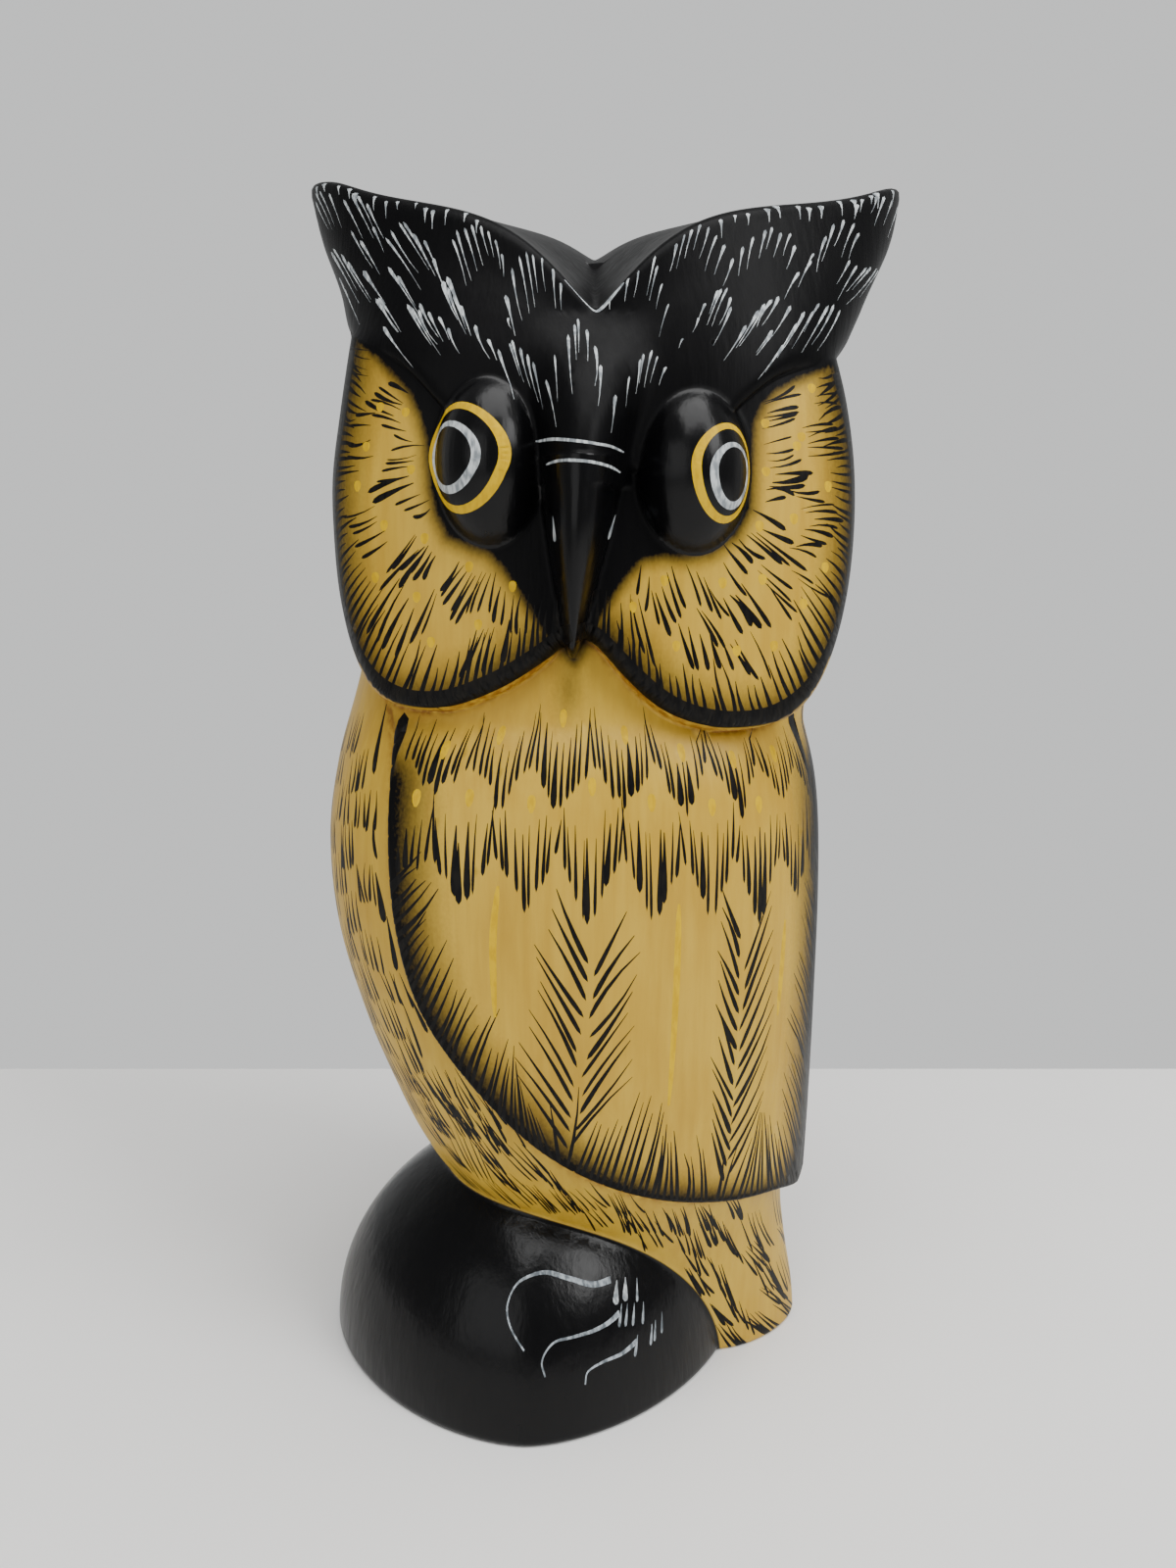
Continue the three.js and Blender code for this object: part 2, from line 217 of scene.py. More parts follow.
# How carved lines are traced: the spacing along an upright line, how high the disc's side walls run on
# under the crown and with how many points, the least sine of a direction in which a wall counts, and
# how far an outline that leaves the pattern runs past it.
UPRIGHT_STEP = 2
WALL_TOP = BROW_BASE + 40
WALL_POINTS = 30
LEAST_SINE = 0.2
BEYOND = 20

# How places without a formula are found: the longest reach, how often a span is halved or a guess
# repeated, the least square that a root or a division gets, and how near two places are one.
FARTHEST = 120.0
REACH_HALVINGS = 24
CREASE_HALVINGS = 20
CROWN_GUESSES = 12
TINY = 1e-6
TOUCH = 1e-3


def through(table, at):
    """The table's columns at each value of its first one: a cubic through every row, with the mean
    slope of its two neighbours."""
    rows = np.asarray(table, float)
    key, values = rows[:, 0], rows[:, 1:]
    before = np.maximum(np.arange(len(key)) - 1, 0)
    after = np.minimum(np.arange(len(key)) + 1, len(key) - 1)
    slope = (values[after] - values[before]) / (key[after] - key[before])[:, None]
    at = np.asarray(at, float)
    i = np.clip(np.searchsorted(key, at, side="right") - 1, 0, len(key) - 2)
    span = key[i + 1] - key[i]
    t = np.clip((at - key[i]) / span, 0, 1)[..., None]
    rest = 1 - t
    pull = (slope[i] * rest - slope[i + 1] * t) * span[..., None] * t * rest
    mixed = values[i] * rest**2 * (1 + 2 * t) + values[i + 1] * t**2 * (3 - 2 * t) + pull
    return np.moveaxis(mixed, -1, 0)


def reach(cut, turn):
    """How far a level cut reaches from the axis in each direction, 0 where the ray misses it. The cut
    is |x - middle|/half to the power square plus |y|/depth to that power equals 1; the outer crossing
    is found by halving."""
    left, right, front, back, square = cut
    middle, half = (left + right) / 2, (right - left) / 2
    depth = np.where(np.cos(turn) > 0, front, back)
    across, away = np.sin(turn) / half, np.abs(np.cos(turn)) / depth
    near = np.maximum(across * middle / half / (across**2 + away**2), 0)

    def outside(distance):
        return np.abs(distance * across - middle / half) ** square + (distance * away) ** square > 1

    low, high = near, near + FARTHEST
    for _ in range(REACH_HALVINGS):
        trial = (low + high) / 2
        beyond = outside(trial)
        low, high = np.where(beyond, low, trial), np.where(beyond, trial, high)
    return np.where(outside(near), 0, low)


def reach_ellipse(turn, middle_x, middle_y, half_x, half_y):
    """The outer crossing of a ray from the axis with an upright-sided ellipse, 0 where it misses."""
    across, away = np.sin(turn) / half_x, -np.cos(turn) / half_y
    shift_x, shift_y = middle_x / half_x, middle_y / half_y
    square = across**2 + away**2
    lean = across * shift_x + away * shift_y
    rest = lean**2 - square * (shift_x**2 + shift_y**2 - 1)
    return np.where(rest > 0, (lean + np.sqrt(np.maximum(rest, 0))) / square, 0)


def swell(a, b, soft):
    """The larger of two reaches, with a hollow fillet where they cross."""
    overlap = np.maximum(soft - np.abs(a - b), 0) / soft
    return np.maximum(a, b) + overlap**2 * soft / 4


def pinch(a, b, soft):
    """The smaller of two reaches, with a rounded edge where they cross."""
    return -swell(-a, -b, soft)


def ease(start, end, value):
    """0 up to the start, 1 from the end on, and a smooth S between them. Where the end is the smaller
    of the two, it falls from 1 to 0 as the value grows."""
    t = np.clip((value - start) / (end - start), 0, 1)
    return t * t * (3 - 2 * t)


def edge(depth_in, width):
    """A carved step: upright at its foot, rounded over at its top, as a quarter circle."""
    t = np.clip(depth_in / width, 0, 1)
    return np.sqrt(1 - (1 - t) ** 2)


def smooth_line(points, steps):
    """A curve through the points: a Catmull-Rom spline with the same number of steps in each span."""
    p = np.asarray(points, float)
    p = np.vstack([2 * p[0] - p[1], p, 2 * p[-1] - p[-2]])
    a, b, c, d = (p[i:len(p) - 3 + i, None, :] for i in range(4))
    t = (np.arange(steps) / steps)[None, :, None]
    curve = b + t * (c - a) / 2 + t**2 * (a - 2.5 * b + 2 * c - d / 2) + t**3 * (1.5 * (b - c) + (d - a) / 2)
    return np.vstack([curve.reshape(-1, p.shape[1]), p[-2]])


def lengths_along(line):
    """How far along an open line each of its points lies."""
    return np.append(0, np.cumsum(np.hypot(*np.diff(line, axis=0).T)))


def at_lengths(line, lengths):
    """Places on an open line at each length along it."""
    along = lengths_along(line)
    return np.column_stack([np.interp(lengths, along, line[:, k]) for k in (0, 1)])


def leftward(way):
    """Steps of one millimetre to the left of each way."""
    return np.column_stack([-way[:, 1], way[:, 0]]) / np.hypot(*way.T)[:, None]


def depth_inside(outline, around, up):
    """Distance in from a closed outline, negative outside it. Each side of the outline is tested
    against all the points at once."""
    nearest = np.full(np.shape(around), np.inf)
    inside = np.zeros(np.shape(around), bool)
    for (x0, y0), (x1, y1) in zip(outline, np.roll(outline, -1, axis=0)):
        dx, dy = x1 - x0, y1 - y0
        along = np.clip(((around - x0) * dx + (up - y0) * dy) / max(dx * dx + dy * dy, TINY), 0, 1)
        nearest = np.minimum(nearest, (around - x0 - along * dx) ** 2 + (up - y0 - along * dy) ** 2)
        crosses = (y0 > up) != (y1 > up)
        if dy:
            inside ^= crosses & (around < x0 + (up - y0) * dx / dy)
    return np.where(inside, 1, -1) * np.sqrt(nearest)


def top_height(x, y):
    """Height of the top of the head: a hollow whose floor climbs to the back, and a tuft on each
    side that rises with the fourth power of the way out and droops at its tip."""
    back = ease(HOLLOW_FRONT_Y, HOLLOW_BACK_Y, y)
    floor = HOLLOW_FRONT_Z + (HOLLOW_BACK_Z - HOLLOW_FRONT_Z) * back
    run = HOLLOW_FRONT_RUN + (HOLLOW_BACK_RUN - HOLLOW_FRONT_RUN) * back
    out = np.abs(x - TUFT_MIDDLE)
    rise = TUFT_RISE * (out / TUFT_REACH) ** 4
    droop = TIP_DROOP * (np.maximum(out - TIP_START, 0) / (TUFT_REACH - TIP_START)) ** 2
    climb = 1 - np.exp(-((np.abs(x - HOLLOW_MIDDLE) / run) ** HOLLOW_POWER))
    return floor + (TUFT_SHOULDER + TUFT_LEAN * y + rise - droop - floor) * climb


def rim_at(turn):
    """The rim's reach in each direction, and its height there."""
    rim = reach(through(CROWN, np.ones_like(turn)), turn)
    return rim, top_height(rim * np.sin(turn), -rim * np.cos(turn))


def turn_on(cut, x):
    """The direction in which the viewer's side of a level cut stands at a given width."""
    left, right, front, _, square = cut
    inside = np.clip(1 - np.abs((x - (left + right) / 2) / ((right - left) / 2)) ** square, 0, 1)
    return np.arctan2(x, front * inside ** (1 / square))


def on_face(table, points):
    """Pattern places of points seen from the viewer, given as width and height, on a stack of cuts."""
    x, z = np.asarray(points, float).T
    return np.column_stack([RADIAN * turn_on(through(table, z), x), z])


def on_crown(points):
    """Pattern places of points seen from the viewer on the crown. Its levels depend on the direction,
    so both are worked out in turn until they settle."""
    x, z = np.asarray(points, float).T
    turn = np.arctan2(x, CROWN[0][3])
    for _ in range(CROWN_GUESSES):
        _, top = rim_at(turn)
        level = (z - BROW_BASE) / (top - BROW_BASE)
        turn = turn_on(through(CROWN, np.clip(level, 0, 1)), x)
    up = np.where(level > 0, BROW_BASE + level * (RIM - BROW_BASE), z)
    return np.column_stack([RADIAN * turn, up])


def side_line(table, depth, low, high, side):
    """The upright line where a stack of cuts meets a plane that far in front of the axis."""
    z = np.linspace(low, high, 1 + int((high - low) / UPRIGHT_STEP))
    left, right, front, _, square = through(table, z)
    half = (right - left) / 2
    x = (left + right) / 2 + side * half * (1 - (depth / front) ** square) ** (1 / square)
    return np.column_stack([RADIAN * np.arctan2(x, depth), z])


def wing_outline():
    """The wing on the viewer's side: down the breast, along the bottom, and up its rear edge."""
    lower = on_face(WING, smooth_line(WING_EDGE, WING_STEPS))
    rear = side_line(WING, WING_REAR_EDGE, WING_EDGE[-1][1] + UPRIGHT_STEP, WING_EDGE[0][1], 1)
    return np.vstack([lower, rear])


def disc_line():
    """The facial disc's carved edge, and where in it the left and the right lobe hang lowest."""
    line = smooth_line(DISC_EDGE, DISC_STEPS)
    lowest = [np.argmin(np.where(side * line[:, 0] > 0, line[:, 1], np.inf)) for side in (-1, 1)]
    return line, *lowest


def disc_sides(z):
    """Width of the facial disc to the left and to the right at each height."""
    line, lowest_left, lowest_right = disc_line()
    left, right = line[:lowest_left + 1][::-1], line[lowest_right:]
    return np.interp(z, left[:, 1], -left[:, 0]), np.interp(z, right[:, 1], right[:, 0])


def disc_outline():
    """The facial disc: down its left side's back edge, along the lobes, and up the right side."""
    line, lowest_left, lowest_right = disc_line()
    lobes = on_face(DISC, line[lowest_left:lowest_right + 1])
    walls = []
    for side, lowest in enumerate((lowest_left, lowest_right)):
        z = np.linspace(line[lowest, 1], WALL_TOP, WALL_POINTS)
        walls.append(np.column_stack([RADIAN * np.arctan2(disc_sides(z)[side], DISC_BACK_EDGE), z]))
    left, right = walls
    return np.vstack([left[::-1] * [-1, 1], lobes, right])


def brow_outline():
    """The crown: its lower edge over the face, and level round the back of the head."""
    line = on_crown(smooth_line(BROW_EDGE, BROW_STEPS))
    (left, _), (right, _) = line[0], line[-1]
    sides = RADIAN * np.arctan2(CROWN[0][2], DISC_BACK_EDGE)
    start = [(SEAM_LEFT - BEYOND, BROW_BASE), (-sides, BROW_BASE), (min(left, -sides), line[0, 1])]
    end = [(max(right, sides), line[-1, 1]), (sides, BROW_BASE),
           (SEAM_RIGHT + BEYOND, BROW_BASE)]
    over = [(SEAM_RIGHT + BEYOND, TOP + BEYOND), (SEAM_LEFT - BEYOND, TOP + BEYOND)]
    return np.vstack([start, line, end, over])


WING_OUTLINE = wing_outline()
DISC_OUTLINE = disc_outline()
BROW_OUTLINE = brow_outline()


def far_side(places):
    """The same pattern places on the side away from the viewer."""
    return np.stack([-HALF_TURN - places[..., 0], places[..., 1]], axis=-1)


def wing_depth(around, up):
    """Distance in from the edge of either wing."""
    near = depth_inside(WING_OUTLINE, around, up)
    return np.maximum(near, depth_inside(WING_OUTLINE, -HALF_TURN - around, up))


def height_at(turn, up):
    """Height of each pattern place up to the rim, and the crown level there."""
    level = np.clip((up - BROW_BASE) / (RIM - BROW_BASE), 0, 1)
    rim, top = rim_at(turn)
    return np.clip(up, 0, BROW_BASE) + (top - BROW_BASE) * level, level, rim


def mound_reach(turn, z):
    """Reach of the mound: superellipse cuts whose size follows a dome."""
    size = np.sqrt(np.maximum(1 - (z / MOUND_HIGH) ** 2, TINY))
    wide = MOUND_WIDE * size
    cut = (MOUND_MIDDLE - wide, MOUND_MIDDLE + wide, MOUND_FRONT * size, MOUND_BACK_REACH * size,
           MOUND_SQUARE)
    return np.where(z < MOUND_HIGH, reach(cut, turn), 0)


def eye_reach(turn, z, eye):
    """Reach of an eye: an ellipsoid's level cut is an ellipse that shrinks away from its middle."""
    (x, y, middle_z), (wide, deep, high) = eye
    size = np.sqrt(np.maximum(1 - ((z - middle_z) / high) ** 2, TINY))
    return np.where(np.abs(z - middle_z) < high, reach_ellipse(turn, x, y, wide * size, deep * size), 0)


def wedge_reach(turn, z, table, root):
    """Reach of a wedge: level half ellipses from the root to the crest."""
    middle, half, crest = through(table, z)
    inside = (z > table[0][0]) & (z < table[-1][0])
    return np.where(inside, reach_ellipse(turn, middle, root, half, root - crest), 0)


def carved_reach(turn, up, z, level):
    """Reach of the whole figure in each direction. The body, the mound and the head are joined with
    fillets; wing, disc and crown stand on them as steps inside their outlines; eyes, ridge and bill
    are joined last."""
    around = turn * RADIAN
    whole = swell(reach(through(BODY, z), turn), mound_reach(turn, z), CREASE)
    skull = np.where(z > SKULL[0][0], reach(through(SKULL, z), turn), 0)
    whole = swell(np.where(z < BODY[-1][0], whole, 0), skull, CREASE)
    wing = swell(reach(through(WING, z), turn), whole, STEP_FILLET)
    whole = whole + (wing - whole) * edge(wing_depth(around, up), WING_ROUND)
    left, right = disc_sides(z)
    wall = np.where(turn < 0, left, right) / np.maximum(np.abs(np.sin(turn)), LEAST_SINE)
    disc = swell(pinch(reach(through(DISC, z), turn), wall, 2 * DISC_ROUND), whole, STEP_FILLET)
    whole = whole + (disc - whole) * edge(depth_inside(DISC_OUTLINE, around, up), DISC_ROUND)
    crown = reach(through(CROWN, level), turn)
    whole = whole + (crown - whole) * edge(depth_inside(BROW_OUTLINE, around, up), BROW_ROUND)
    for eye in EYES:
        whole = swell(whole, eye_reach(turn, z, eye), EYE_FILLET)
    whole = swell(whole, wedge_reach(turn, z, RIDGE, RIDGE_ROOT), RIDGE_FILLET)
    return swell(whole, wedge_reach(turn, z, BILL, BILL_ROOT), BILL_FILLET)


def place(around, up):
    """Points of the carved surface before its rim and foot are rounded, in millimetres from the axis.
    Below 0 the reach shrinks along the underside, and above the rim it shrinks into the hollow."""
    turn = around / RADIAN
    z, level, rim = height_at(turn, up)
    whole = carved_reach(turn, np.clip(up, 0, RIM), z, level)
    whole = whole * np.clip(1 + up / UNDER_SPAN, 0, 1)
    whole = np.where(up > RIM, rim * (1 - (up - RIM) / HOLLOW_SPAN), whole)
    x, y = whole * np.sin(turn), -whole * np.cos(turn)
    return np.column_stack([x, y, np.where(up > RIM, top_height(x, y), z)])


def surface(around, up):
    """The finished surface. Near the rim and the foot a point is a quadratic blend of the places
    before, at and after the corner, which rounds it."""
    points = place(around, up)
    for corner, soft in CORNERS:
        near = np.abs(up - corner) < soft
        t = ((up[near] - corner) / soft + 1) / 2
        side = around[near]
        before, middle, after = (place(side, np.full_like(side, corner + k * soft)) for k in (-1, 0, 1))
        t = t[:, None]
        points[near] = (1 - t) ** 2 * before + 2 * t * (1 - t) * middle + t**2 * after
    return points


# Kinds of paint cut into the mesh, in the order in which they cover each other, and how high the
# relief of each brushed one stands, in millimetres.
GROUND, BLACK, YELLOW, GREY, WHITE, BARE = range(6)
BRUSH_PAINTS = (("black", 0.06), ("yellow", 0.1), ("grey", 0.08), ("white", 0.1))
SEED = 11

# Regions of the pattern as left, right, low and high: all of it, and those with the closer points.
PATTERN = (SEAM_LEFT, SEAM_RIGHT, BOTTOM, TOP)
FRONT_REGION = (-80, SEAM_RIGHT, 0, TOP - HOLLOW_SPAN / 2)
FACE_REGION = (-38, 38, 137, 192)

# Rows of mesh points that hold the carved edges: depths inside a step and distances from a corner, as
# shares of its rounding, and distances from the mound's crease, down to its least height.
STEP_ROWS = np.array([-0.15, 0, 0.12, 0.35, 0.75, 1.2])
CORNER_ROWS = (-1, -0.4, 0, 0.4, 1)
CREASE_ROWS = (-0.7, 0, 0.7)
LEAST_CREASE = 0.01

# How close the mesh's points may come, in millimetres: strokes, steps and filling to the pattern's
# border, steps to strokes, and filling to both. The grid that tests it has a few cells to spare.
STROKE_MARGIN = 0.3
STEP_MARGIN = 0.4
FILLING_MARGIN = 0.5
STEP_GAP = 0.12
FILLING_GAP = 0.3
SPARE_CELLS = 3

# The crown's tufts: the tops of the first, middle and last stroke, the tails of the first and last,
# and the number of strokes.
CROWN_TUFTS = (
    ((-66.4, 214.6), (-64.7, 216.6), (-61.1, 215.6), (4.8, -5.2), (3.1, -4.5), 4),
    ((-57.4, 214.8), (-54.5, 216.8), (-50.3, 213), (5, -5), (4.6, -5), 5),
    ((-55.5, 210.5), (-54.2, 209.5), (-52.5, 209.5), (6.8, -5.3), (6.4, -5), 2),
    ((-46.3, 210.8), (-43.2, 213.2), (-35.1, 208.8), (9, -6.8), (4.4, -5.2), 7),
    ((-31.9, 211.8), (-26.5, 216.3), (-19.6, 212.5), (5.5, -8.4), (0.8, -3.4), 8),
    ((-16.9, 210.6), (-12.5, 216.8), (-5.9, 215.6), (3.4, -9.5), (0.2, -7), 7),
    ((-62.5, 206.2), (-58, 206.3), (-50.7, 204.7), (10.5, -6.8), (6.7, -4.6), 5),
    ((-59.7, 202.5), (-58.5, 201.5), (-57, 200.5), (10, -6.4), (9, -6), 2),
    ((-45.7, 200.1), (-44, 199.6), (-41.2, 195), (8.4, -6), (6.3, -5.4), 4),
    ((-45, 206.3), (-43.9, 206.1), (-42, 205), (8.4, -6.6), (7, -6), 2),
    ((-37.7, 199.7), (-34.2, 198.8), (-28.2, 196.1), (7.8, -7.5), (2.4, -3.5), 7),
    ((-31.4, 205.5), (-28.3, 202.1), (-19.8, 195.1), (5.5, -7), (2.7, -4.8), 7),
    ((-17.8, 205), (-17.3, 203), (-17.4, 200.6), (3.2, -8), (1.1, -2.5), 2),
    ((-17.1, 193), (-14, 195.6), (-7.4, 189.8), (3, -7), (2.2, -9.5), 7),
    ((-5.8, 196.3), (-1.2, 209.8), (4.5, 189.1), (1.5, -13), (-0.8, -9.7), 8),
    ((5, 216.6), (8, 216.9), (11, 216.9), (-0.3, -3), (-1, -4.5), 3),
    ((14.3, 216.6), (15.3, 212), (16.5, 205), (-2, -6.5), (-2, -5), 4),
    ((19.5, 215.8), (25.9, 217), (31, 208.6), (-1.7, -4.6), (-3, -4.7), 8),
    ((32.8, 210.9), (39.2, 213.9), (43, 209.9), (-2, -4.8), (-3, -4.3), 7),
    ((49.5, 211.5), (53.3, 214.3), (56.2, 211.5), (-3.2, -5.3), (-3, -4), 5),
    ((53, 207), (54, 206.8), (55, 206), (-4.6, -4.8), (-4.2, -4.4), 2),
    ((46.7, 208.7), (44.7, 207.3), (42.4, 205.7), (-2.8, -3.4), (-3.4, -3.8), 3),
    ((19.1, 196.1), (26.6, 203.8), (28.5, 199.9), (-1, -2), (-4, -6.5), 8),
    ((30.2, 196.4), (35.3, 200.5), (38.6, 199.4), (-4.9, -6.5), (-4.4, -5.3), 6),
    ((34, 194.6), (35.2, 194.2), (36, 192.6), (-3.6, -4.1), (-3.8, -4.6), 3),
    ((39.9, 196.4), (45.1, 199.3), (50, 198.6), (-5.5, -7), (-5, -5.8), 7),
    ((57.5, 205.6), (60.4, 204.8), (63.5, 203.6), (-6.4, -4.2), (-7.6, -3.8), 4),
    ((7.4, 192.5), (12, 196.9), (15.5, 191), (-1, -9), (-1.8, -4.5), 6),
    ((57.3, 216.2), (61.8, 216.8), (67.6, 214.6), (-1.2, -2.4), (-3, -4), 6),
)
# A tuft's strokes: the range of their tails as shares of the named ones, how many are fat, how wide
# fat and thin ones are, and the width that any may have, with the share of the spacing it may fill.
TUFT_TAILS = (0.8, 1.4)
TUFT_FAT_SHARE = 0.22
TUFT_FAT, TUFT_THIN, TUFT_LEAST = 1.15, 0.62, 0.55
TUFT_FILL = 0.42

# The tufts on the back of the head: the rows' heights, left and right ends and spacing, half a tuft's
# width, how far its sides hang, its two outer tails and its number of strokes.
BACK_ROWS = (212, 203, 194, 185)
BACK_RUN = (-196, -74)
BACK_SPACING = 11.0
BACK_HALF = 3.6
BACK_HANG = 2
BACK_TAILS = ((1, -6), (-1, -6))
BACK_COUNT = 6

# The strokes over the rim: their spacing and stray, the middle and the half width of the bare part
# round the notch, how far round they lean, the distance at which the lean is one millimetre, and the
# ranges of their starts above the rim, their lengths and their widths.
RIM_SPACING = 3.0
RIM_STRAY = 1.3
RIM_MIDDLE, RIM_BARE = 2, 26
RIM_FRONT, RIM_LEAN = 95, 60
RIM_STARTS = (-1.0, 0.9)
RIM_LENGTHS = (1.6, 3.8)
RIM_WIDTHS = (0.6, 1.3)

# White lines in the notch between the tufts, with their width and the end's where it widens.
NOTCH_LINES = (
    (((-5.4, 217.5), (-3, 217.3), (-0.4, 217), (1.8, 216.7)), 0.35, 0.8),
    (((1.8, 216.7), (3.4, 216.6), (5.4, 217), (8, 217.5)), 1.8, None),
)

# The hood of black paint over the crown, round the eyes and down both sides of the bill.
HOOD_OUTLINE = np.array([
    (SEAM_LEFT - BEYOND, 190), (SEAM_LEFT, 186), (-180, 172), (-138, 160), (-96, 174), (-70, 189),
    (-61, 193.5), (-48.4, 193.2), (-41.7, 189.6), (-37.6, 186.1), (-34.7, 183.2), (-32.6, 179),
    (-31.3, 174.8), (-30.1, 165.7), (-28.8, 161.9), (-26.7, 158.6), (-22.7, 157.2), (-19.2, 156.2),
    (-16.4, 153.6), (-13.5, 150.3), (-10.6, 146.3), (-8, 143), (-6.5, 141.3), (-3.3, 138.8),
    (0, 142.6), (2.9, 146.8), (5.5, 150.3), (7.8, 152.7), (10.7, 155.1), (14.5, 155.7), (18.9, 155.5),
    (23.5, 156.3), (27.7, 158.9), (30.2, 162.7), (31.3, 174.5), (31.8, 178.2), (33.4, 181.5),
    (35.7, 184), (39.3, 185.9), (46.8, 188.6), (61, 190), (SEAM_RIGHT, 186),
    (SEAM_RIGHT + BEYOND, 176), (SEAM_RIGHT + BEYOND, TOP + BEYOND), (SEAM_LEFT - BEYOND, TOP + BEYOND),
])

# Painted rings on the eyes: middle, half sizes, thinnest and thickest line, and the direction in
# degrees in which the line is thickest.
EYE_RINGS = (
    (YELLOW, (-22, 171.8), (8.4, 9.3), 0.9, 1.7, 10),
    (WHITE, (-23.8, 171.5), (6.0, 6.0), 0.75, 1.6, -10),
    (YELLOW, (23.4, 169.1), (6.2, 8.1), 0.85, 1.5, 170),
    (WHITE, (24.2, 168.3), (4.2, 5.2), 0.7, 1.5, 200),
)

# Lines of white and grey paint: the bill's two bars, its nostrils, and the talons with their knuckles.
# A knuckle's stroke is given by its thin and its thick end from the knuckle's middle, and its width.
BILL_BARS = (
    ((-9.8, 175.2), (-6.1, 175.7), (-2, 175.6), (2.5, 175.2), (6.6, 173.4)),
    ((-7.2, 169.7), (-4, 170.4), (0, 170.2), (3, 169.4), (5.8, 168)),
)
BAR_WIDTH = 0.85
NOSTRILS = (((-5.8, 161.4), (-5.5, 157.6)), ((5.6, 161.8), (3.9, 158)))
NOSTRIL_WIDTH = 0.7
TALONS = (
    ((-13.2, 17), (-16.9, 20.6), (-18.3, 23.6), (-16.9, 26.6), (-11.7, 27.7), (-5.3, 26.4), (1.4, 24.7),
     (6.7, 24.5)),
    ((-8.7, 12.7), (-9.5, 15.4), (-7.5, 17.8), (-3.4, 18.1), (1.2, 18.2), (5, 18.6), (8.4, 19.4)),
    ((-0.6, 10.1), (0, 12.1), (3.4, 12.9), (8.4, 13.1), (12.8, 14)),
)
TALON_WIDTHS = (0.3, 1.0)
WHITE_KNUCKLES = ((8, 22.4), (11, 22.3))
GREY_KNUCKLES = ((14.9, 21.4), (8.6, 18.9), (10.4, 18.6), (12.6, 18.2), (15.7, 17.7), (12.4, 13.2),
                 (17.4, 13.7), (18.8, 14), (21.6, 14.6))
WHITE_KNUCKLE = ((0.7, 1.7), (-0.5, -1.6), 1.7)
GREY_KNUCKLE = ((0.8, 1.7), (-0.6, -1.6), 0.8)

# The wing's two scalloped rows: along, lower end and upper end of the strokes at each turn of a row.
WING_ROWS = (
    ((-35, 123, 128), (-28.4, 117.5, 124), (-21.9, 122, 129), (-16, 115.4, 124.2), (-11, 122.3, 130.3),
     (-5.7, 114.9, 124.8), (1, 122.3, 130.8), (7.3, 114.8, 124.3), (12.6, 122.2, 129.6),
     (18.6, 114, 122.3), (23.8, 121.7, 127.7), (30, 113.9, 121.5), (34.6, 121, 126.1),
     (39.9, 114, 121), (45.5, 120, 125), (51, 113, 120), (56, 118, 123)),
    ((-33.5, 103, 108), (-27.7, 107.1, 115.9), (-22.4, 98.4, 109.9), (-17.2, 107.7, 114.9),
     (-11.3, 98.8, 110.2), (-5.8, 107.9, 115), (0, 95.5, 110.3), (6.4, 107.8, 116.5),
     (12.1, 96.2, 110), (18.4, 107.3, 113.7), (23.7, 95.3, 108.5), (28.2, 106.4, 113.8),
     (33.8, 93.3, 107.4), (38.5, 105.8, 113.3), (43.8, 96.3, 107), (48.5, 104, 112), (54, 95, 106)),
)

# The rows' strokes: their spacing, how far they stray sideways, at the lower end, at the upper end and
# sideways there, how far they start above the named ends, how much their ends lean out from the middle
# of a hanging tuft, how many are fat and from where in the tuft, and their widths.
ROW_SPACING = 1.2
ROW_STRAY, ROW_LOWER_STRAY, ROW_UPPER_STRAY, ROW_START_STRAY = 0.18, 0.6, 1.1, 0.2
ROW_LIFT = 0.8
ROW_UPPER_LEAN, ROW_LOWER_LEAN = 0.12, -0.05
ROW_FAT_SHARE, ROW_FAT_FROM = 0.36, 0.4
ROW_FAT, ROW_THIN = 1.2, 0.66
ROW_UNEVEN = (0.75, 1.25)

# Yellow dots along the rows, with their width and height.
WING_DOTS = ((-27.9, 124.7), (-18.1, 127.2), (-5.5, 129.9), (7.9, 127.3), (19.1, 124.4), (29.5, 122.8),
             (39.9, 122.8), (-31, 116.9), (-21.6, 117.5), (-10.5, 116.8), (0.8, 119.5), (12.1, 116.8),
             (23.8, 115.5), (33.9, 115))
WING_DOT = (1.6, 3)

# A big drop at each end of the rows: thin ends, thick ends and widths.
SHOULDERS = (((-36, 112.5), (53, 113)), ((-39.4, 129.6), (49, 130.6)), (3, 3.2))

# The wing's long feathers: each vane runs from thin starts along one line to thick ends on its shaft.
VANES = (
    (((-5.8, 102), (-8.6, 94.5), (-10.4, 85.5), (-12.6, 78), (-14, 69.5)),
     ((0, 90), (-0.8, 81), (-2, 72.5), (-3, 63.6), (-4.5, 55)), 12),
    (((7.3, 98), (9.2, 92), (8.4, 84), (8, 77), (9.6, 69)),
     ((1.2, 87.5), (0.4, 79), (-0.6, 71), (-1.6, 63), (-4, 55)), 10),
    (((25.6, 101), (25.4, 90), (25.2, 79), (25.2, 67), (26.5, 56)),
     ((29.6, 92), (29.7, 81), (30.1, 70), (30.4, 57), (31.4, 45)), 15),
    (((36.3, 100), (37.5, 90), (37.7, 80), (37.8, 70), (37.4, 60)),
     ((30.4, 86), (30.5, 76), (30.4, 66), (30.6, 56), (31.8, 46)), 12),
)
VANE_WIDTHS = (0.65, 1.05)
VANE_STRAY = (0.5, 0.2)
STREAK_WIDTH = 1.3
STREAKS = (((-16.2, 103), (-17.3, 93.4), (-17.5, 80)), ((17.1, 99.5), (17, 87.7), (16.6, 63)),
           ((40.5, 93.5), (39.6, 76)))

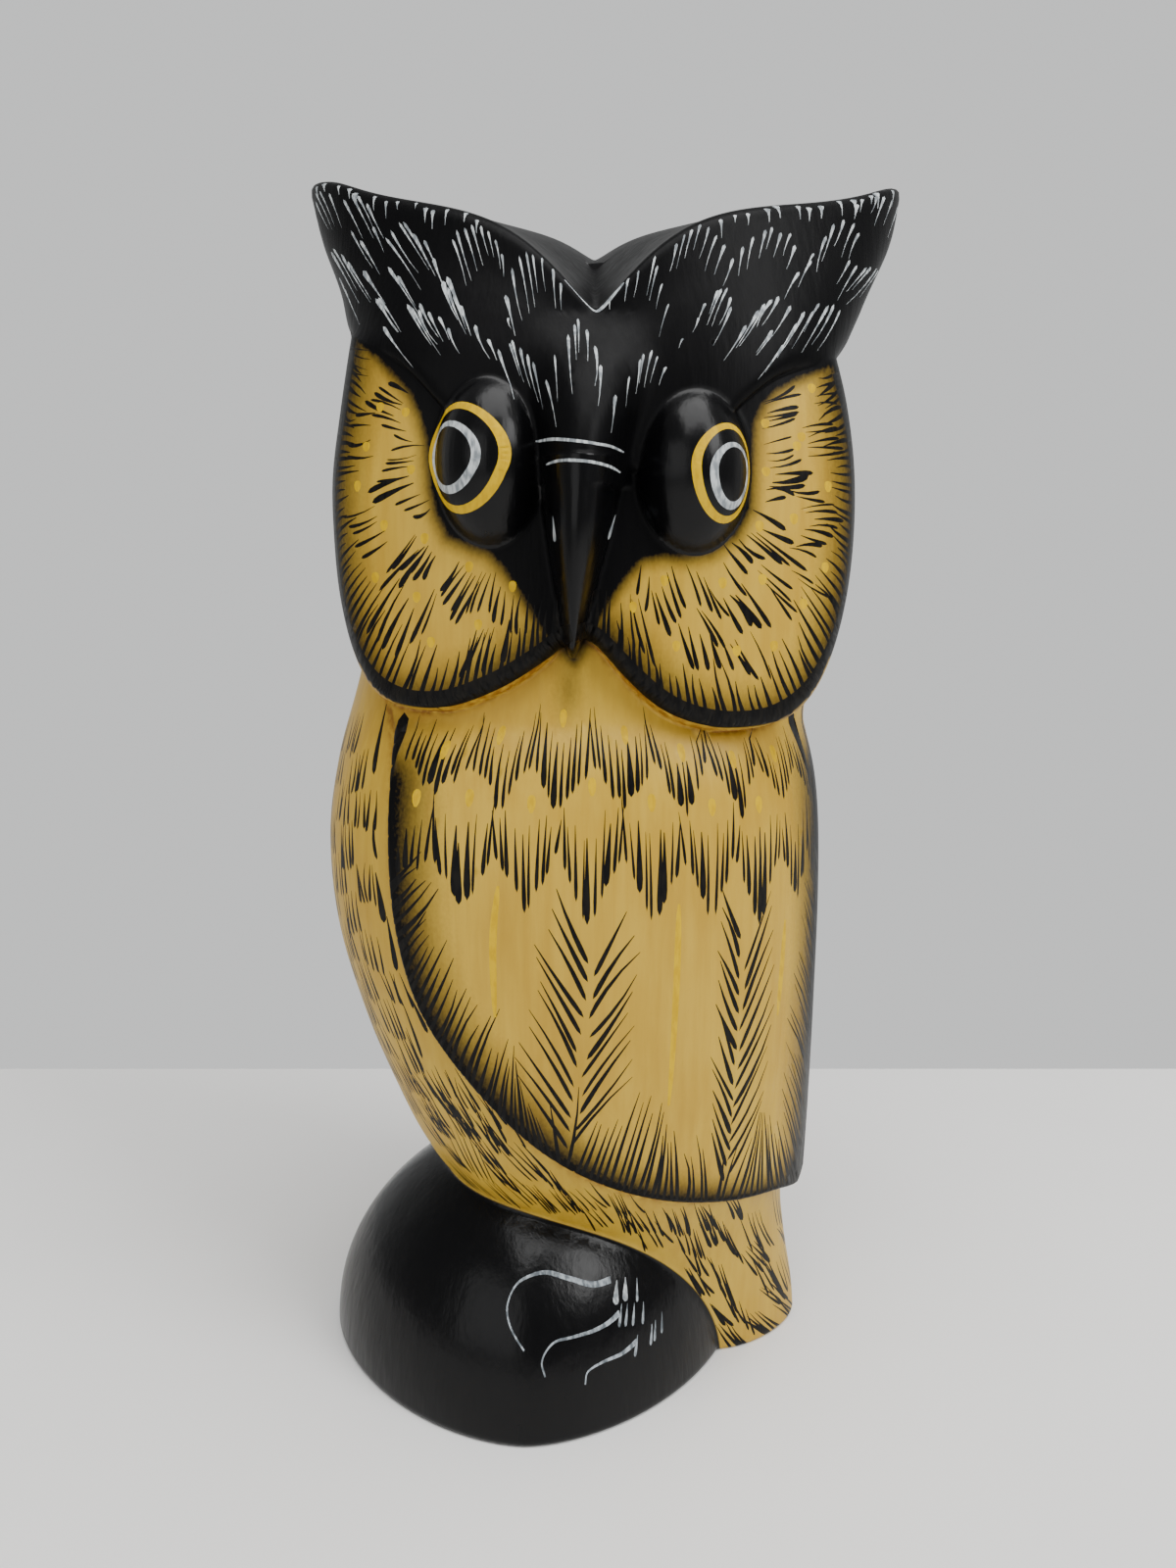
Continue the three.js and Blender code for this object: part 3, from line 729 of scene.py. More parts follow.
# The fringe along the wing's border: places on the border, and where the strokes from them end. Below
# are the strokes' spacing, the share of its way at which one starts, the ranges of their lengths as
# shares of the named ones and of their widths, and how far they bow.
WING_FRINGE = (
    ((-33.8, 104), (-28.4, 110)), ((-33.1, 92), (-26.9, 99)),
    ((-31.3, 77.9), (-25.7, 88.6)), ((-28, 66), (-22.5, 77.4)), ((-22.6, 60), (-18.6, 72.3)),
    ((-14.4, 54), (-14.7, 65.9)), ((-6.4, 50), (-10.2, 61.3)), ((-2.6, 48), (3.1, 61.4)),
    ((10.8, 44), (13.4, 59.1)), ((22, 41), (19.6, 53.5)), ((28, 40), (24.7, 51.7)),
    ((34, 39.5), (36.8, 53.1)), ((43.7, 38.2), (40, 52)), ((55.7, 36), (45.4, 52.1)),
    ((57.5, 59.2), (46.4, 73.7)), ((57.5, 79.7), (49, 91.2)), ((57.5, 100), (52.8, 106)),
)
FRINGE_SPACING = 1.75
FRINGE_START = 0.04
FRINGE_LENGTHS = (0.85, 1.45)
FRINGE_WIDTHS = (0.6, 0.95)
FRINGE_BOW = 0.35

# The wing's painted border: as carved, but on the right it is well before the hidden rear edge. The
# line along it leaves out its first and last places, and its middle lies inside the border.
WING_PAINT_RIGHT = 57.5
WING_LINE_PLACES = slice(4, -2)
WING_LINE_WIDTH = 1.5
WING_LINE_IN = 0.45

# The breast and tail as fans of dashes: the start and the end of the first stroke and of the last,
# the number of strokes and how wide they are.
TAIL_FANS = (
    ((-44.2, 130.5), (-43.4, 118.9), (-44.2, 130.5), (-43.4, 118.9), 1, 1.5),
    ((-41.7, 114.2), (-40.9, 104.7), (-41.7, 114.2), (-40.9, 104.7), 1, 1.1),
    ((-40.7, 102), (-39.6, 93.2), (-39.9, 95), (-38.5, 84.9), 2, 1.7),
    ((-39.3, 79), (-37.1, 68.1), (-37, 81.2), (-34.7, 73.5), 2, 0.9),
    ((-31.8, 66.5), (-27.8, 55.2), (-28.9, 67), (-24.8, 59.5), 2, 0.8),
    ((-31.2, 66.5), (-29.4, 60.4), (-27.1, 63.7), (-25.2, 57.1), 4, 0.6),
    ((-36.2, 54.1), (-35.2, 43.8), (-28.9, 55.1), (-27.7, 41.2), 6, 0.6),
    ((-23.5, 53.2), (-14.8, 45), (-16.7, 53.7), (-9.1, 46.3), 5, 0.75),
    ((-24.3, 43.2), (-18.7, 36.9), (-21, 46.4), (-14.9, 39.6), 4, 0.6),
    ((-9.2, 42.3), (-3.4, 36), (0, 45.3), (7.5, 39.7), 6, 0.65),
    ((-1, 38.7), (5.3, 33.2), (2, 40), (8.4, 33.9), 3, 0.6),
    ((9.8, 38.6), (16.1, 31.4), (20.9, 38), (27.4, 30.7), 6, 0.7),
    ((14.6, 33.6), (22.2, 27.2), (20.8, 35), (28.5, 27.4), 4, 0.6),
    ((27.5, 31.6), (32.6, 24.8), (33.7, 31.7), (39.2, 23.1), 5, 0.65),
    ((31.9, 26.7), (37.9, 19.6), (35.6, 26), (41, 18.4), 3, 0.6),
    ((38.5, 32.5), (47, 22.2), (43, 29.7), (50.3, 19.7), 4, 0.7),
    ((38.9, 24), (44.1, 15.7), (43.4, 21.1), (49.4, 8.1), 5, 0.6),
    ((45.1, 31.6), (51.9, 21.5), (51.7, 30.9), (60.2, 18.7), 5, 0.7),
    ((52, 20.3), (58.1, 9.8), (56.5, 18.9), (63.2, 6.3), 5, 0.65),
    ((45, 15.5), (49.5, 7.2), (51.1, 8.8), (54.4, 1.6), 5, 0.55),
    ((56.6, 33.4), (61.6, 22.6), (63, 31), (67, 19.4), 4, 0.6),
    ((60.4, 15.6), (64.6, 5.6), (64.6, 16.6), (68.4, 5.4), 4, 0.55),
)

# Fans in staggered rows, with the same number of dashes. On the breast between the wings: the rows'
# heights, the spacing in a row, the gap to the wing's edge, a fan's stray, its dashes' lean at the top,
# how much more they lean at the bottom and between which heights, the range of their lengths, their
# width, a fan's width, and the mean and spread of its slant. The wing's edge runs down the breast for
# the first spans of its outline.
FAN_DASHES = 5
BREAST_ROWS = (128, 56, -6.2)
BREAST_SPACING = 8.2
BREAST_GAP = 5
BREAST_STRAY = 0.5
BREAST_LEAN, BREAST_MORE_LEAN, BREAST_LEAN_FROM = 0.4, 2.2, (100, 60)
BREAST_LENGTHS = (6.5, 8.5)
BREAST_WIDTH = 0.68
BREAST_FAN, BREAST_SLANT = 4.6, (0.6, 0.8)
BREAST_SPANS = 7

# Between the named fans of the lower breast and the tail: the rows' heights, ends and spacing, a fan's
# stray, how its dashes run, how much farther out on the right and between which places, the range of
# their lengths as shares of that, their width, a fan's width, and the mean and spread of its slant. A
# fan keeps its middle a gap away from the named ones, and its dashes keep clear of the wing.
TAIL_ROWS = (64, 6, -5.2)
TAIL_RUN, TAIL_SPACING = (-44, 70), 7.2
TAIL_STRAY = 0.7
TAIL_DROP, TAIL_MORE_OUT, TAIL_OUT_FROM = (4.8, -7.2), 1.4, (10, 50)
TAIL_LENGTHS = (0.85, 1.1)
TAIL_WIDTH = 0.72
TAIL_FAN, TAIL_SLANT = 3.8, (-0.2, 0.7)
TAIL_GAP = 4.6
WING_CLEARANCE = 0.4

# The facial disc: the middle of each lobe's eye, and fans of strokes as the thin and the thick end of
# the first stroke and of the last, the number of strokes and how wide they are.
LOBES = ((-1, (-19.8, 170)), (1, (20.6, 168)))
LOBE_FANS = {
    -1: (
        ((-43.1, 190.3), (-49.3, 191.8), (-43.4, 186.3), (-47.8, 187), 4, 0.4),
        ((-35.1, 182.2), (-39.5, 185.2), (-37, 179.2), (-43.3, 181.3), 5, 0.85),
        ((-41.3, 180.1), (-45.6, 179.4), (-35.7, 177.9), (-41.8, 179.2), 2, 0.9),
        ((-41.8, 177.1), (-46.1, 177), (-40.7, 172.2), (-46.7, 172), 3, 0.8),
        ((-35.2, 176.5), (-39.9, 177), (-33.5, 174.5), (-37.4, 175.2), 2, 0.6),
        ((-32, 173.2), (-37.6, 172.7), (-34.9, 168.1), (-40.3, 167.3), 5, 0.5),
        ((-34, 167.4), (-41.6, 165.3), (-33.7, 166.8), (-40.9, 163.9), 2, 1.1),
        ((-31.5, 165.4), (-37, 163.4), (-30.4, 163), (-33.4, 160.9), 3, 0.65),
        ((-40.1, 163.3), (-47.2, 161.7), (-38.1, 158.2), (-43, 155.3), 5, 0.6),
        ((-32.6, 158.9), (-37.8, 153.5), (-28.2, 155.7), (-31.1, 151.5), 6, 0.8),
        ((-32.3, 156.3), (-38.9, 150), (-31.3, 155.9), (-35.4, 151.2), 2, 0.9),
        ((-34.9, 152), (-41.8, 142.3), (-32.8, 147.3), (-36.2, 139.7), 4, 0.85),
        ((-29.4, 150.2), (-33.8, 141), (-28.6, 149.7), (-30.6, 143), 2, 0.7),
        ((-24.4, 154.2), (-28, 150.2), (-21.7, 151.8), (-25.4, 144.2), 6, 0.75),
        ((-20.5, 153.6), (-23.7, 146.1), (-17.8, 152.8), (-19.3, 146.7), 4, 0.5),
        ((-17, 150.6), (-18.5, 145.1), (-11.8, 149.4), (-12.2, 142.9), 5, 0.75),
        ((-15.4, 145.5), (-16.6, 138.7), (-15.4, 145.5), (-16.6, 138.7), 1, 1.8),
        ((-20.6, 144.4), (-25, 136.6), (-18.8, 143.7), (-20.2, 136.7), 4, 0.7),
    ),
    1: (
        ((43.7, 185.8), (46.9, 187), (42.3, 181.1), (47.9, 181.8), 4, 0.6),
        ((34.4, 182.2), (39.5, 184.3), (33.4, 176.5), (39.6, 178), 6, 0.8),
        ((40.3, 176.9), (45.9, 178.3), (41, 172), (48.8, 172.7), 6, 0.6),
        ((33.2, 173.4), (37.6, 175.2), (33.8, 169.5), (39.8, 170.5), 4, 0.55),
        ((35, 168.2), (41.8, 169), (32.7, 164.2), (37.2, 164.1), 5, 1.05),
        ((37.6, 166), (42.9, 166.1), (39.9, 161.9), (46.3, 162.3), 4, 0.55),
        ((41.5, 161.3), (47.9, 160.7), (36.9, 156), (41.7, 155.5), 6, 0.75),
        ((31, 162.6), (35.9, 159.9), (32.7, 159.7), (37.3, 157.3), 2, 0.85),
        ((31.4, 159.7), (39.8, 153.5), (27.3, 157.8), (30.5, 154.5), 5, 0.85),
        ((25.3, 157.2), (29.2, 152.6), (25.5, 154.6), (29.1, 149.8), 2, 0.65),
        ((32.3, 154), (37.3, 149.8), (32.9, 150.5), (38.1, 145.4), 4, 0.6),
        ((37.5, 153), (41.7, 150.6), (38.4, 151.5), (45.9, 148.3), 2, 0.5),
        ((28.2, 150.5), (33.1, 143.5), (25.3, 149), (28.9, 143.6), 4, 1.0),
        ((23.5, 151), (26.4, 145.1), (19.3, 154.2), (22.2, 147.6), 4, 0.6),
        ((21.4, 147.5), (25.7, 141.8), (20.4, 146.9), (24, 140.8), 2, 0.8),
        ((16.3, 154), (18.6, 147.5), (13.4, 149.8), (15.6, 142.9), 4, 1.0),
        ((10.7, 154.2), (10, 149.1), (12.7, 150.3), (13.3, 144.9), 3, 0.6),
        ((24.7, 142.9), (26.5, 137.4), (17.6, 144.9), (19.5, 138), 5, 0.85),
        ((8.5, 149.1), (9.6, 141.4), (9.7, 148.8), (12.7, 138.3), 3, 0.6),
        ((29.2, 143.6), (33.5, 136), (26.4, 142.1), (29.8, 136.5), 3, 0.65),
    ),
}

# How long the fringe on a lobe's rim is, by its direction from the eye in degrees: 0 is straight down
# and 90 straight out. Its strokes point away from a focus beside the eye's middle: it lies nearer the
# bill and a little higher, and follows a stroke outwards by a share of its distance from the eye.
LOBE_FRINGE = ((-60, 5), (-25, 8), (10, 9.5), (40, 11), (65, 7), (90, 6), (130, 5))
LOBE_FRINGE_LENGTHS = (0.55, 1.1)
LOBE_FRINGE_WIDTHS = (0.55, 0.9)
FOCUS_IN, FOCUS_UP, FOCUS_FOLLOWS = 8, 1, 0.42

# The rim's black band: how far in its middle lies under the lobes and up their sides, the heights
# between which it changes over, and its width.
BAND_IN = 2.6
BAND_SIDE_IN = 1.3
BAND_TURNS = (134, 148)
BAND_WIDTH = 2.8

# Yellow dots on the disc, with their width and height.
DISC_DOT = (1.5, 1.8)
DISC_DOTS = (
    (-40.2, 180.8), (-35.5, 179.9), (-42.4, 173.7), (-33.9, 169.3), (-43.9, 166.8), (-38.4, 160.5),
    (-31, 158.4), (-39.9, 152.2), (-32.1, 149.2), (-22.9, 154), (-14.8, 151), (-21, 145), (-29.4, 142.1),
    (42.3, 184.5), (33.8, 178), (39.8, 175.5), (38.9, 173.8), (44.3, 166.7), (33.4, 168.9),
    (37.8, 161.5), (31.9, 160.3), (43.5, 153.8), (32.1, 152), (25.3, 151.5), (14.9, 151.9),
    (8.9, 147.8), (39.2, 148), (33.9, 141.4), (27.5, 140.8), (16.9, 141.7),
)

# The facial disc and the wing as seen from the viewer, as closed outlines of width and height. The
# wing's painted border runs up its right side just before the silhouette.
SEEN_STEPS = 4
SEEN_SIDE, SEEN_TOP = 44, 240
DISC_SEEN = np.vstack([smooth_line(DISC_EDGE, SEEN_STEPS), [SEEN_SIDE, SEEN_TOP], [-SEEN_SIDE, SEEN_TOP]])
WING_SEEN = np.vstack([smooth_line(WING_EDGE, SEEN_STEPS)[:-2], [42.6, 46], [43, 95], [40, 150], [-32, 150]])

# The border that is painted round the wing, from its top on the breast side down and round to its top
# on the right.
WING_BORDER = np.vstack([
    [WING_OUTLINE[0, 0], SKULL[-1][0]],
    np.minimum(WING_OUTLINE, [WING_PAINT_RIGHT, np.inf]),
    [WING_PAINT_RIGHT, SKULL[-1][0]],
])

# How a stroke swells from its thin end to its thick one: the share of the way, and of its width.
STROKE_AT = np.array([0, 0.3, 0.6, 0.8, 0.93])
TAPERED = np.array([0.14, 0.5, 0.86, 1.0, 0.8])
DROP = np.array([0.08, 0.2, 0.45, 0.85, 1.0])

# How steady the hand was: how far the ends of a stroke stray and its middle bows, the range of its
# width as shares of the named one, and how far a fringe's spacing is off as a share of it. Then the
# sides of a dot and of a ring, the steps from one point of a curve or a painted line to the next, how
# much a dot sags, and how wide the ends of a line are as a share of its middle.
STRAY = 0.35
FAN_BOW, TUFT_BOW, FEATHER_BOW = 0.2, 0.15, 0.25
UNEVEN = (0.65, 1.2)
UNEVEN_SPACING = 0.2
DOT_SIDES, RING_SIDES, CURVE_STEPS, LINE_STEPS = 10, 48, 8, 6
DOT_SAG, LINE_END = 0.25, 0.35

# How the black was sprayed and the shade painted, in millimetres: the depths between which the hood
# fades in, the painted shade under the bill, the bare step under the lobes, the heights between which
# it narrows and above which there is none, and how dense both shades are. The wing's shade is wider
# at its lower left, which turns from the light, and there it is painted shade as well as sprayed black;
# it changes between two widths on a slanting line, fades out under the disc and fades in over the
# wing's carved edge.
HOOD_FADE = (-3.4, 1.2)
BILL_SHADE_MIDDLE, BILL_SHADE_SIZE, BILL_SHADE_DARKNESS = (-4.5, 134), (3, 5), 0.45
BARE_STEP, BARE_STEP_NARROWS, BARE_STEP_TOP = 0.9, (136, 146), 143
SHADE_DENSITY = 0.98
WIDER, WIDER_FROM = 0.5, (20, -25)
WIDER_HEIGHT, WIDER_SLOPE = 80, 0.3
WING_SHADE_ENDS = (131, 118)
WING_EDGE_FADE = (-0.2, 0.1)

# How the brown stain and painted shade lie in the grooves, in millimetres: how they fade outside and
# inside the wing's border and the disc's edge, where they end on the sides of the head, and how dense
# they are along the wing.
WING_GROOVE_OUT, WING_GROOVE_IN = (0.2, 2.6), (0.4, 0)
DISC_GROOVE_OUT, DISC_GROOVE_IN = (0, 1.4), (1.2, 0.2)
GROOVE_SIDES = (48, 44)
WING_GROOVE_DENSITY = 0.8


def along_curve(points, share):
    """Places at each share of the length of a curve through the points."""
    line = smooth_line(points, CURVE_STEPS)
    return at_lengths(line, share * lengths_along(line)[-1])


def brush(thin, thick, width, bow=0.0, swell_to=TAPERED):
    """Outlines of strokes. Each runs from its thin end to its thick one along a parabola that bows
    sideways, its half width swells with the way, and its end is round."""
    thin, thick = np.atleast_2d(thin), np.atleast_2d(thick)
    way = thick - thin
    across = leftward(way)
    half = np.broadcast_to(np.asarray(width, float), len(thin))[:, None] / 2 * swell_to
    middle = thin[:, None] + way[:, None] * STROKE_AT[:, None]
    bow = np.broadcast_to(np.asarray(bow, float), len(thin))[:, None] * 4 * STROKE_AT * (1 - STROKE_AT)
    middle = middle + across[:, None] * bow[..., None]
    side = across[:, None] * half[..., None]
    return np.concatenate([middle - side, thick[:, None], (middle + side)[:, ::-1]], axis=1)


def fan(thin_first, thick_first, thin_last, thick_last, count, width, draw):
    """Strokes that turn evenly from a first to a last one."""
    share = np.linspace(0, 1, count)[:, None]
    thin = np.asarray(thin_first, float) * (1 - share) + np.asarray(thin_last, float) * share
    thick = np.asarray(thick_first, float) * (1 - share) + np.asarray(thick_last, float) * share
    thin, thick = (ends + draw.normal(0, STRAY, ends.shape) for ends in (thin, thick))
    return brush(thin, thick, width * draw.uniform(*UNEVEN, count), draw.normal(0, FAN_BOW, count))


def loose_fan(start, drop, step, width, draw):
    """A fan round a start: its dashes all fall by the same drop, from places along the step."""
    first, last = start - step / 2, start + step / 2
    return fan(first, first + drop, last, last + drop, FAN_DASHES, width, draw)


def ribbon(path, width, closed=False):
    """A line of paint as a strip of four-sided patches, with its own width at every point."""
    path = np.asarray(path, float)
    if closed:
        before, after = np.roll(path, 1, axis=0), np.roll(path, -1, axis=0)
        way = after - before
    else:
        way = np.gradient(path, axis=0)
    side = leftward(way) * (np.broadcast_to(np.asarray(width, float), len(path)) / 2)[:, None]
    left, right = path + side, path - side
    if closed:
        left, right = np.vstack([left, left[:1]]), np.vstack([right, right[:1]])
    return np.stack([right[:-1], right[1:], left[1:], left[:-1]], axis=1)


def tuft_strokes(first, middle, last, tail_first, tail_last, count, draw):
    """A tuft: the thick ends lie on a parabola through three points, and the tails turn evenly from
    the first to the last. One stroke in five is fat."""
    t = np.linspace(0, 1, count)[:, None]
    a, b, c = (np.asarray(p, float) for p in (first, middle, last))
    top = a * 2 * (t - 0.5) * (t - 1) - b * 4 * t * (t - 1) + c * 2 * t * (t - 0.5)
    tail = np.asarray(tail_first, float) * (1 - t) + np.asarray(tail_last, float) * t
    top = top + draw.normal(0, STRAY, top.shape)
    tail = tail * draw.uniform(*TUFT_TAILS, (count, 1))
    fat = draw.uniform(size=count) < TUFT_FAT_SHARE
    width = np.where(fat, TUFT_FAT, TUFT_THIN) * draw.uniform(*UNEVEN, count)
    width = np.minimum(width, max(TUFT_LEAST, TUFT_FILL * np.hypot(*(c - a)) / count))
    return brush(top + tail, top, width, draw.normal(0, TUFT_BOW, count), DROP)


def rim_strokes(draw):
    """Short strokes that hang over the rim all round the head. Those in front lean outwards."""
    around = np.arange(SEAM_LEFT + 2 * RIM_SPACING, SEAM_RIGHT - RIM_SPACING, RIM_SPACING)
    around = around + draw.uniform(-RIM_STRAY, RIM_STRAY, around.shape)
    around = around[np.abs(around - RIM_MIDDLE) > RIM_BARE]
    top = np.column_stack([around, RIM + draw.uniform(*RIM_STARTS, around.shape)])
    lean = np.where(np.abs(around) < RIM_FRONT, -around / RIM_LEAN, 0)
    tail = np.column_stack([lean, -draw.uniform(*RIM_LENGTHS, around.shape)])
    return brush(top + tail, top, draw.uniform(*RIM_WIDTHS, around.shape), 0, DROP)


def back_of_head_strokes(draw):
    """Rows of tufts on the side away from the viewer, each row shifted by half a tuft."""
    groups = []
    left, right = BACK_RUN
    for row, up in enumerate(BACK_ROWS):
        for around in np.arange(left + BACK_SPACING / 2 * (row % 2), right, BACK_SPACING):
            first, last = ((around + half, up - BACK_HANG) for half in (-BACK_HALF, BACK_HALF))
            groups.append(tuft_strokes(first, (around, up), last, *BACK_TAILS, BACK_COUNT, draw))
    return np.concatenate(groups)


def crown_strokes(draw):
    """All the white strokes of the head."""
    tufts = [tuft_strokes(*tuft, draw) for tuft in CROWN_TUFTS]
    return np.concatenate([*tufts, rim_strokes(draw), back_of_head_strokes(draw)])


def row_strokes(turns_of_row, draw):
    """A scalloped row: strokes whose ends follow two zigzags and lean to the middle of each hanging
    tuft, where some of them are fat drops."""
    at, lower, upper = np.array(turns_of_row, float).T
    around = np.arange(at[0], at[-1], ROW_SPACING)
    around = around + draw.normal(0, ROW_STRAY, around.shape)
    low = np.interp(around, at, lower) + draw.normal(0, ROW_LOWER_STRAY, around.shape)
    high = np.interp(around, at, upper) + ROW_LIFT + draw.normal(0, ROW_UPPER_STRAY, around.shape)
    hangs = (np.arange(len(at)) + (lower[0] < lower[1])) % 2 == 1
    deep = np.interp(around, at, hangs)
    out = around - at[hangs][np.argmin(np.abs(around[:, None] - at[hangs]), axis=1)]
    fat = (draw.uniform(size=len(around)) < ROW_FAT_SHARE) & (deep > ROW_FAT_FROM)
    width = np.where(fat, ROW_FAT, ROW_THIN) * draw.uniform(*ROW_UNEVEN, around.shape)
    start = around + ROW_UPPER_LEAN * out + draw.normal(0, ROW_START_STRAY, around.shape)
    end = around + ROW_LOWER_LEAN * out
    return brush(np.column_stack([start, high]), np.column_stack([end, low]), width)


def vane_strokes(starts, ends, count, draw):
    """One vane of a long feather."""
    share = np.linspace(0, 1, count)
    thin, thick = (along_curve(line, share) + draw.normal(0, stray, (count, 2))
                   for line, stray in zip((starts, ends), VANE_STRAY))
    return brush(thin, thick, draw.uniform(*VANE_WIDTHS, count), draw.normal(0, FEATHER_BOW, count))


def fringe_lengths(line, draw):
    """Lengths along a line at which the strokes of a fringe start, at an uneven spacing."""
    at = np.arange(FRINGE_SPACING, lengths_along(line)[-1], FRINGE_SPACING)
    return at + draw.uniform(-UNEVEN_SPACING, UNEVEN_SPACING, at.shape) * FRINGE_SPACING


def wing_fringe_strokes(draw):
    """Strokes from the border inwards. Their way in is read between the named places."""
    at = fringe_lengths(WING_BORDER, draw)
    places, ends = np.array(WING_FRINGE, float).transpose(1, 0, 2)
    nearest = [np.argmin(np.hypot(*(WING_BORDER - place).T)) for place in places]
    named = lengths_along(WING_BORDER)[nearest]
    at = at[(at > named[0]) & (at < named[-1])]
    root = at_lengths(WING_BORDER, at)
    way = np.column_stack([np.interp(at, named, (ends - places)[:, k]) for k in (0, 1)])
    way = way * draw.uniform(*FRINGE_LENGTHS, (len(at), 1))
    bow = draw.normal(0, FRINGE_BOW, len(at))
    return brush(root + way, root + way * FRINGE_START, draw.uniform(*FRINGE_WIDTHS, len(at)), bow)


def wing_strokes(draw):
    """The black brushwork of one wing, without the line round it."""
    rows = [row_strokes(row, draw) for row in WING_ROWS]
    vanes = [vane_strokes(*vane, draw) for vane in VANES]
    return np.concatenate([*rows, *vanes, wing_fringe_strokes(draw), brush(*SHOULDERS)])


def dots(places, wide, high):
    """Drops of thick yellow paint: ovals that are fuller below than above."""
    turn = np.linspace(0, 2 * np.pi, DOT_SIDES + 1)[:-1]
    shape = np.column_stack([wide * np.cos(turn), high * np.sin(turn) * (1 - DOT_SAG * np.sin(turn))])
    return np.asarray(places, float)[:, None] + shape / 2


def breast_strokes(draw):
    """Staggered fans of thin dashes down the breast between the wings."""
    fans = []
    wing_edge = WING_OUTLINE[:WING_STEPS * BREAST_SPANS][::-1]
    for row, up in enumerate(np.arange(*BREAST_ROWS)):
        left = -HALF_TURN / 2 + BREAST_SPACING / 2 * (row % 2)
        right = np.interp(up, wing_edge[:, 1], wing_edge[:, 0]) - BREAST_GAP
        lean = BREAST_LEAN + BREAST_MORE_LEAN * ease(*BREAST_LEAN_FROM, up)
        for around in np.arange(left, right, BREAST_SPACING):
            start = np.array([around + draw.normal(0, BREAST_STRAY), up])
            drop = np.array([lean, -draw.uniform(*BREAST_LENGTHS)])
            step = np.array([BREAST_FAN, draw.normal(*BREAST_SLANT)])
            fans.append(loose_fan(start, drop, step, BREAST_WIDTH, draw))
    return fans


def on_breast(group):
    """The strokes that lie wholly on the breast or the tail, off the wings and the mound."""
    around, up = group[..., 0], group[..., 1]
    turn = around / RADIAN
    off_mound = mound_reach(turn, up) < reach(through(BODY, up), turn)
    return group[(off_mound & (wing_depth(around, up) < -WING_CLEARANCE)).all(axis=1)]


def tail_strokes(draw):
    """The named fans on the lower breast and the tail, and more of them in the gaps between."""
    fans = [fan(*dashes, draw) for dashes in TAIL_FANS]
    middles = np.array([np.mean(dashes[:4], axis=0) for dashes in TAIL_FANS])
    left, right = TAIL_RUN
    out, down = TAIL_DROP
    for row, up in enumerate(np.arange(*TAIL_ROWS)):
        for around in np.arange(left + TAIL_SPACING / 2 * (row % 2), right, TAIL_SPACING):
            start = np.array([around, up]) + draw.normal(0, TAIL_STRAY, 2)
            drop = np.array([out + TAIL_MORE_OUT * ease(*TAIL_OUT_FROM, around), down])
            drop = drop * draw.uniform(*TAIL_LENGTHS)
            step = np.array([TAIL_FAN, draw.normal(*TAIL_SLANT)])
            if np.hypot(*(middles - start - drop / 2).T).min() > TAIL_GAP:
                fans.append(loose_fan(start, drop, step, TAIL_WIDTH, draw))
    return [on_breast(group) for group in fans]


def disc_rim(side):
    """The visible rim of one lobe, from the bill round under the lobe and up to the brow."""
    line, *_ = disc_line()
    notch = np.argmin(np.abs(line[:, 0] - LOBES_MEET))
    half = line[notch:] if side > 0 else line[:notch][::-1]
    return on_face(DISC, half)


def outward(side, eye, at):
    """The way a stroke points on a lobe: away from a focus that lies nearer the bill for strokes
    below the eye."""
    out = side * (at[:, 0] - eye[0])
    inward = FOCUS_FOLLOWS * out - FOCUS_IN
    focus = np.column_stack([eye[0] + side * inward, np.full(len(at), eye[1] + FOCUS_UP)])
    way = at - focus
    return way / np.hypot(*way.T)[:, None]


def lobe_strokes(side, eye, draw):
    """The named fans of a lobe, and a fringe along its rim that is longest under the eye."""
    fans = [fan(*strokes, draw) for strokes in LOBE_FANS[side]]
    rim = disc_rim(side)
    root = at_lengths(rim, fringe_lengths(rim, draw))
    toward = np.degrees(np.arctan2(side * (root[:, 0] - eye[0]), eye[1] - root[:, 1]))
    long = np.interp(toward, *np.array(LOBE_FRINGE, float).T)
    long = long * draw.uniform(*LOBE_FRINGE_LENGTHS, len(root))
    way = outward(side, eye, root)
    thin, thick = root - way * (BAND_IN + long)[:, None], root - way * BAND_IN
    width = draw.uniform(*LOBE_FRINGE_WIDTHS, len(root))
    return np.concatenate([*fans, brush(thin, thick, width, draw.normal(0, FEATHER_BOW, len(root)))])


def ring(middle, half, thinnest, thickest, toward):
    """A painted ring: an ellipse whose line is thickest in one direction."""
    turn = np.linspace(0, 2 * np.pi, RING_SIDES + 1)[:-1]
    path = np.asarray(middle) + np.column_stack([half[0] * np.cos(turn), half[1] * np.sin(turn)])
    share = (1 + np.cos(turn - math.radians(toward))) / 2
    return ribbon(path, thinnest + (thickest - thinnest) * share, closed=True)


def line_of_paint(points, width, end_width=None):
    """A line of paint through a few points: thinner at both ends, or widening to its last one."""
    path = smooth_line(points, LINE_STEPS)
    share = np.linspace(0, 1, len(path))
    if end_width is None:
        return ribbon(path, width * (LINE_END + (1 - LINE_END) * np.sqrt(np.sin(np.pi * share))))
    return ribbon(path, width + (end_width - width) * share**2)


def knuckle_strokes(places, start, end, width):
    """The same short stroke at each place."""
    return brush(np.array(places) + start, np.array(places) + end, width)


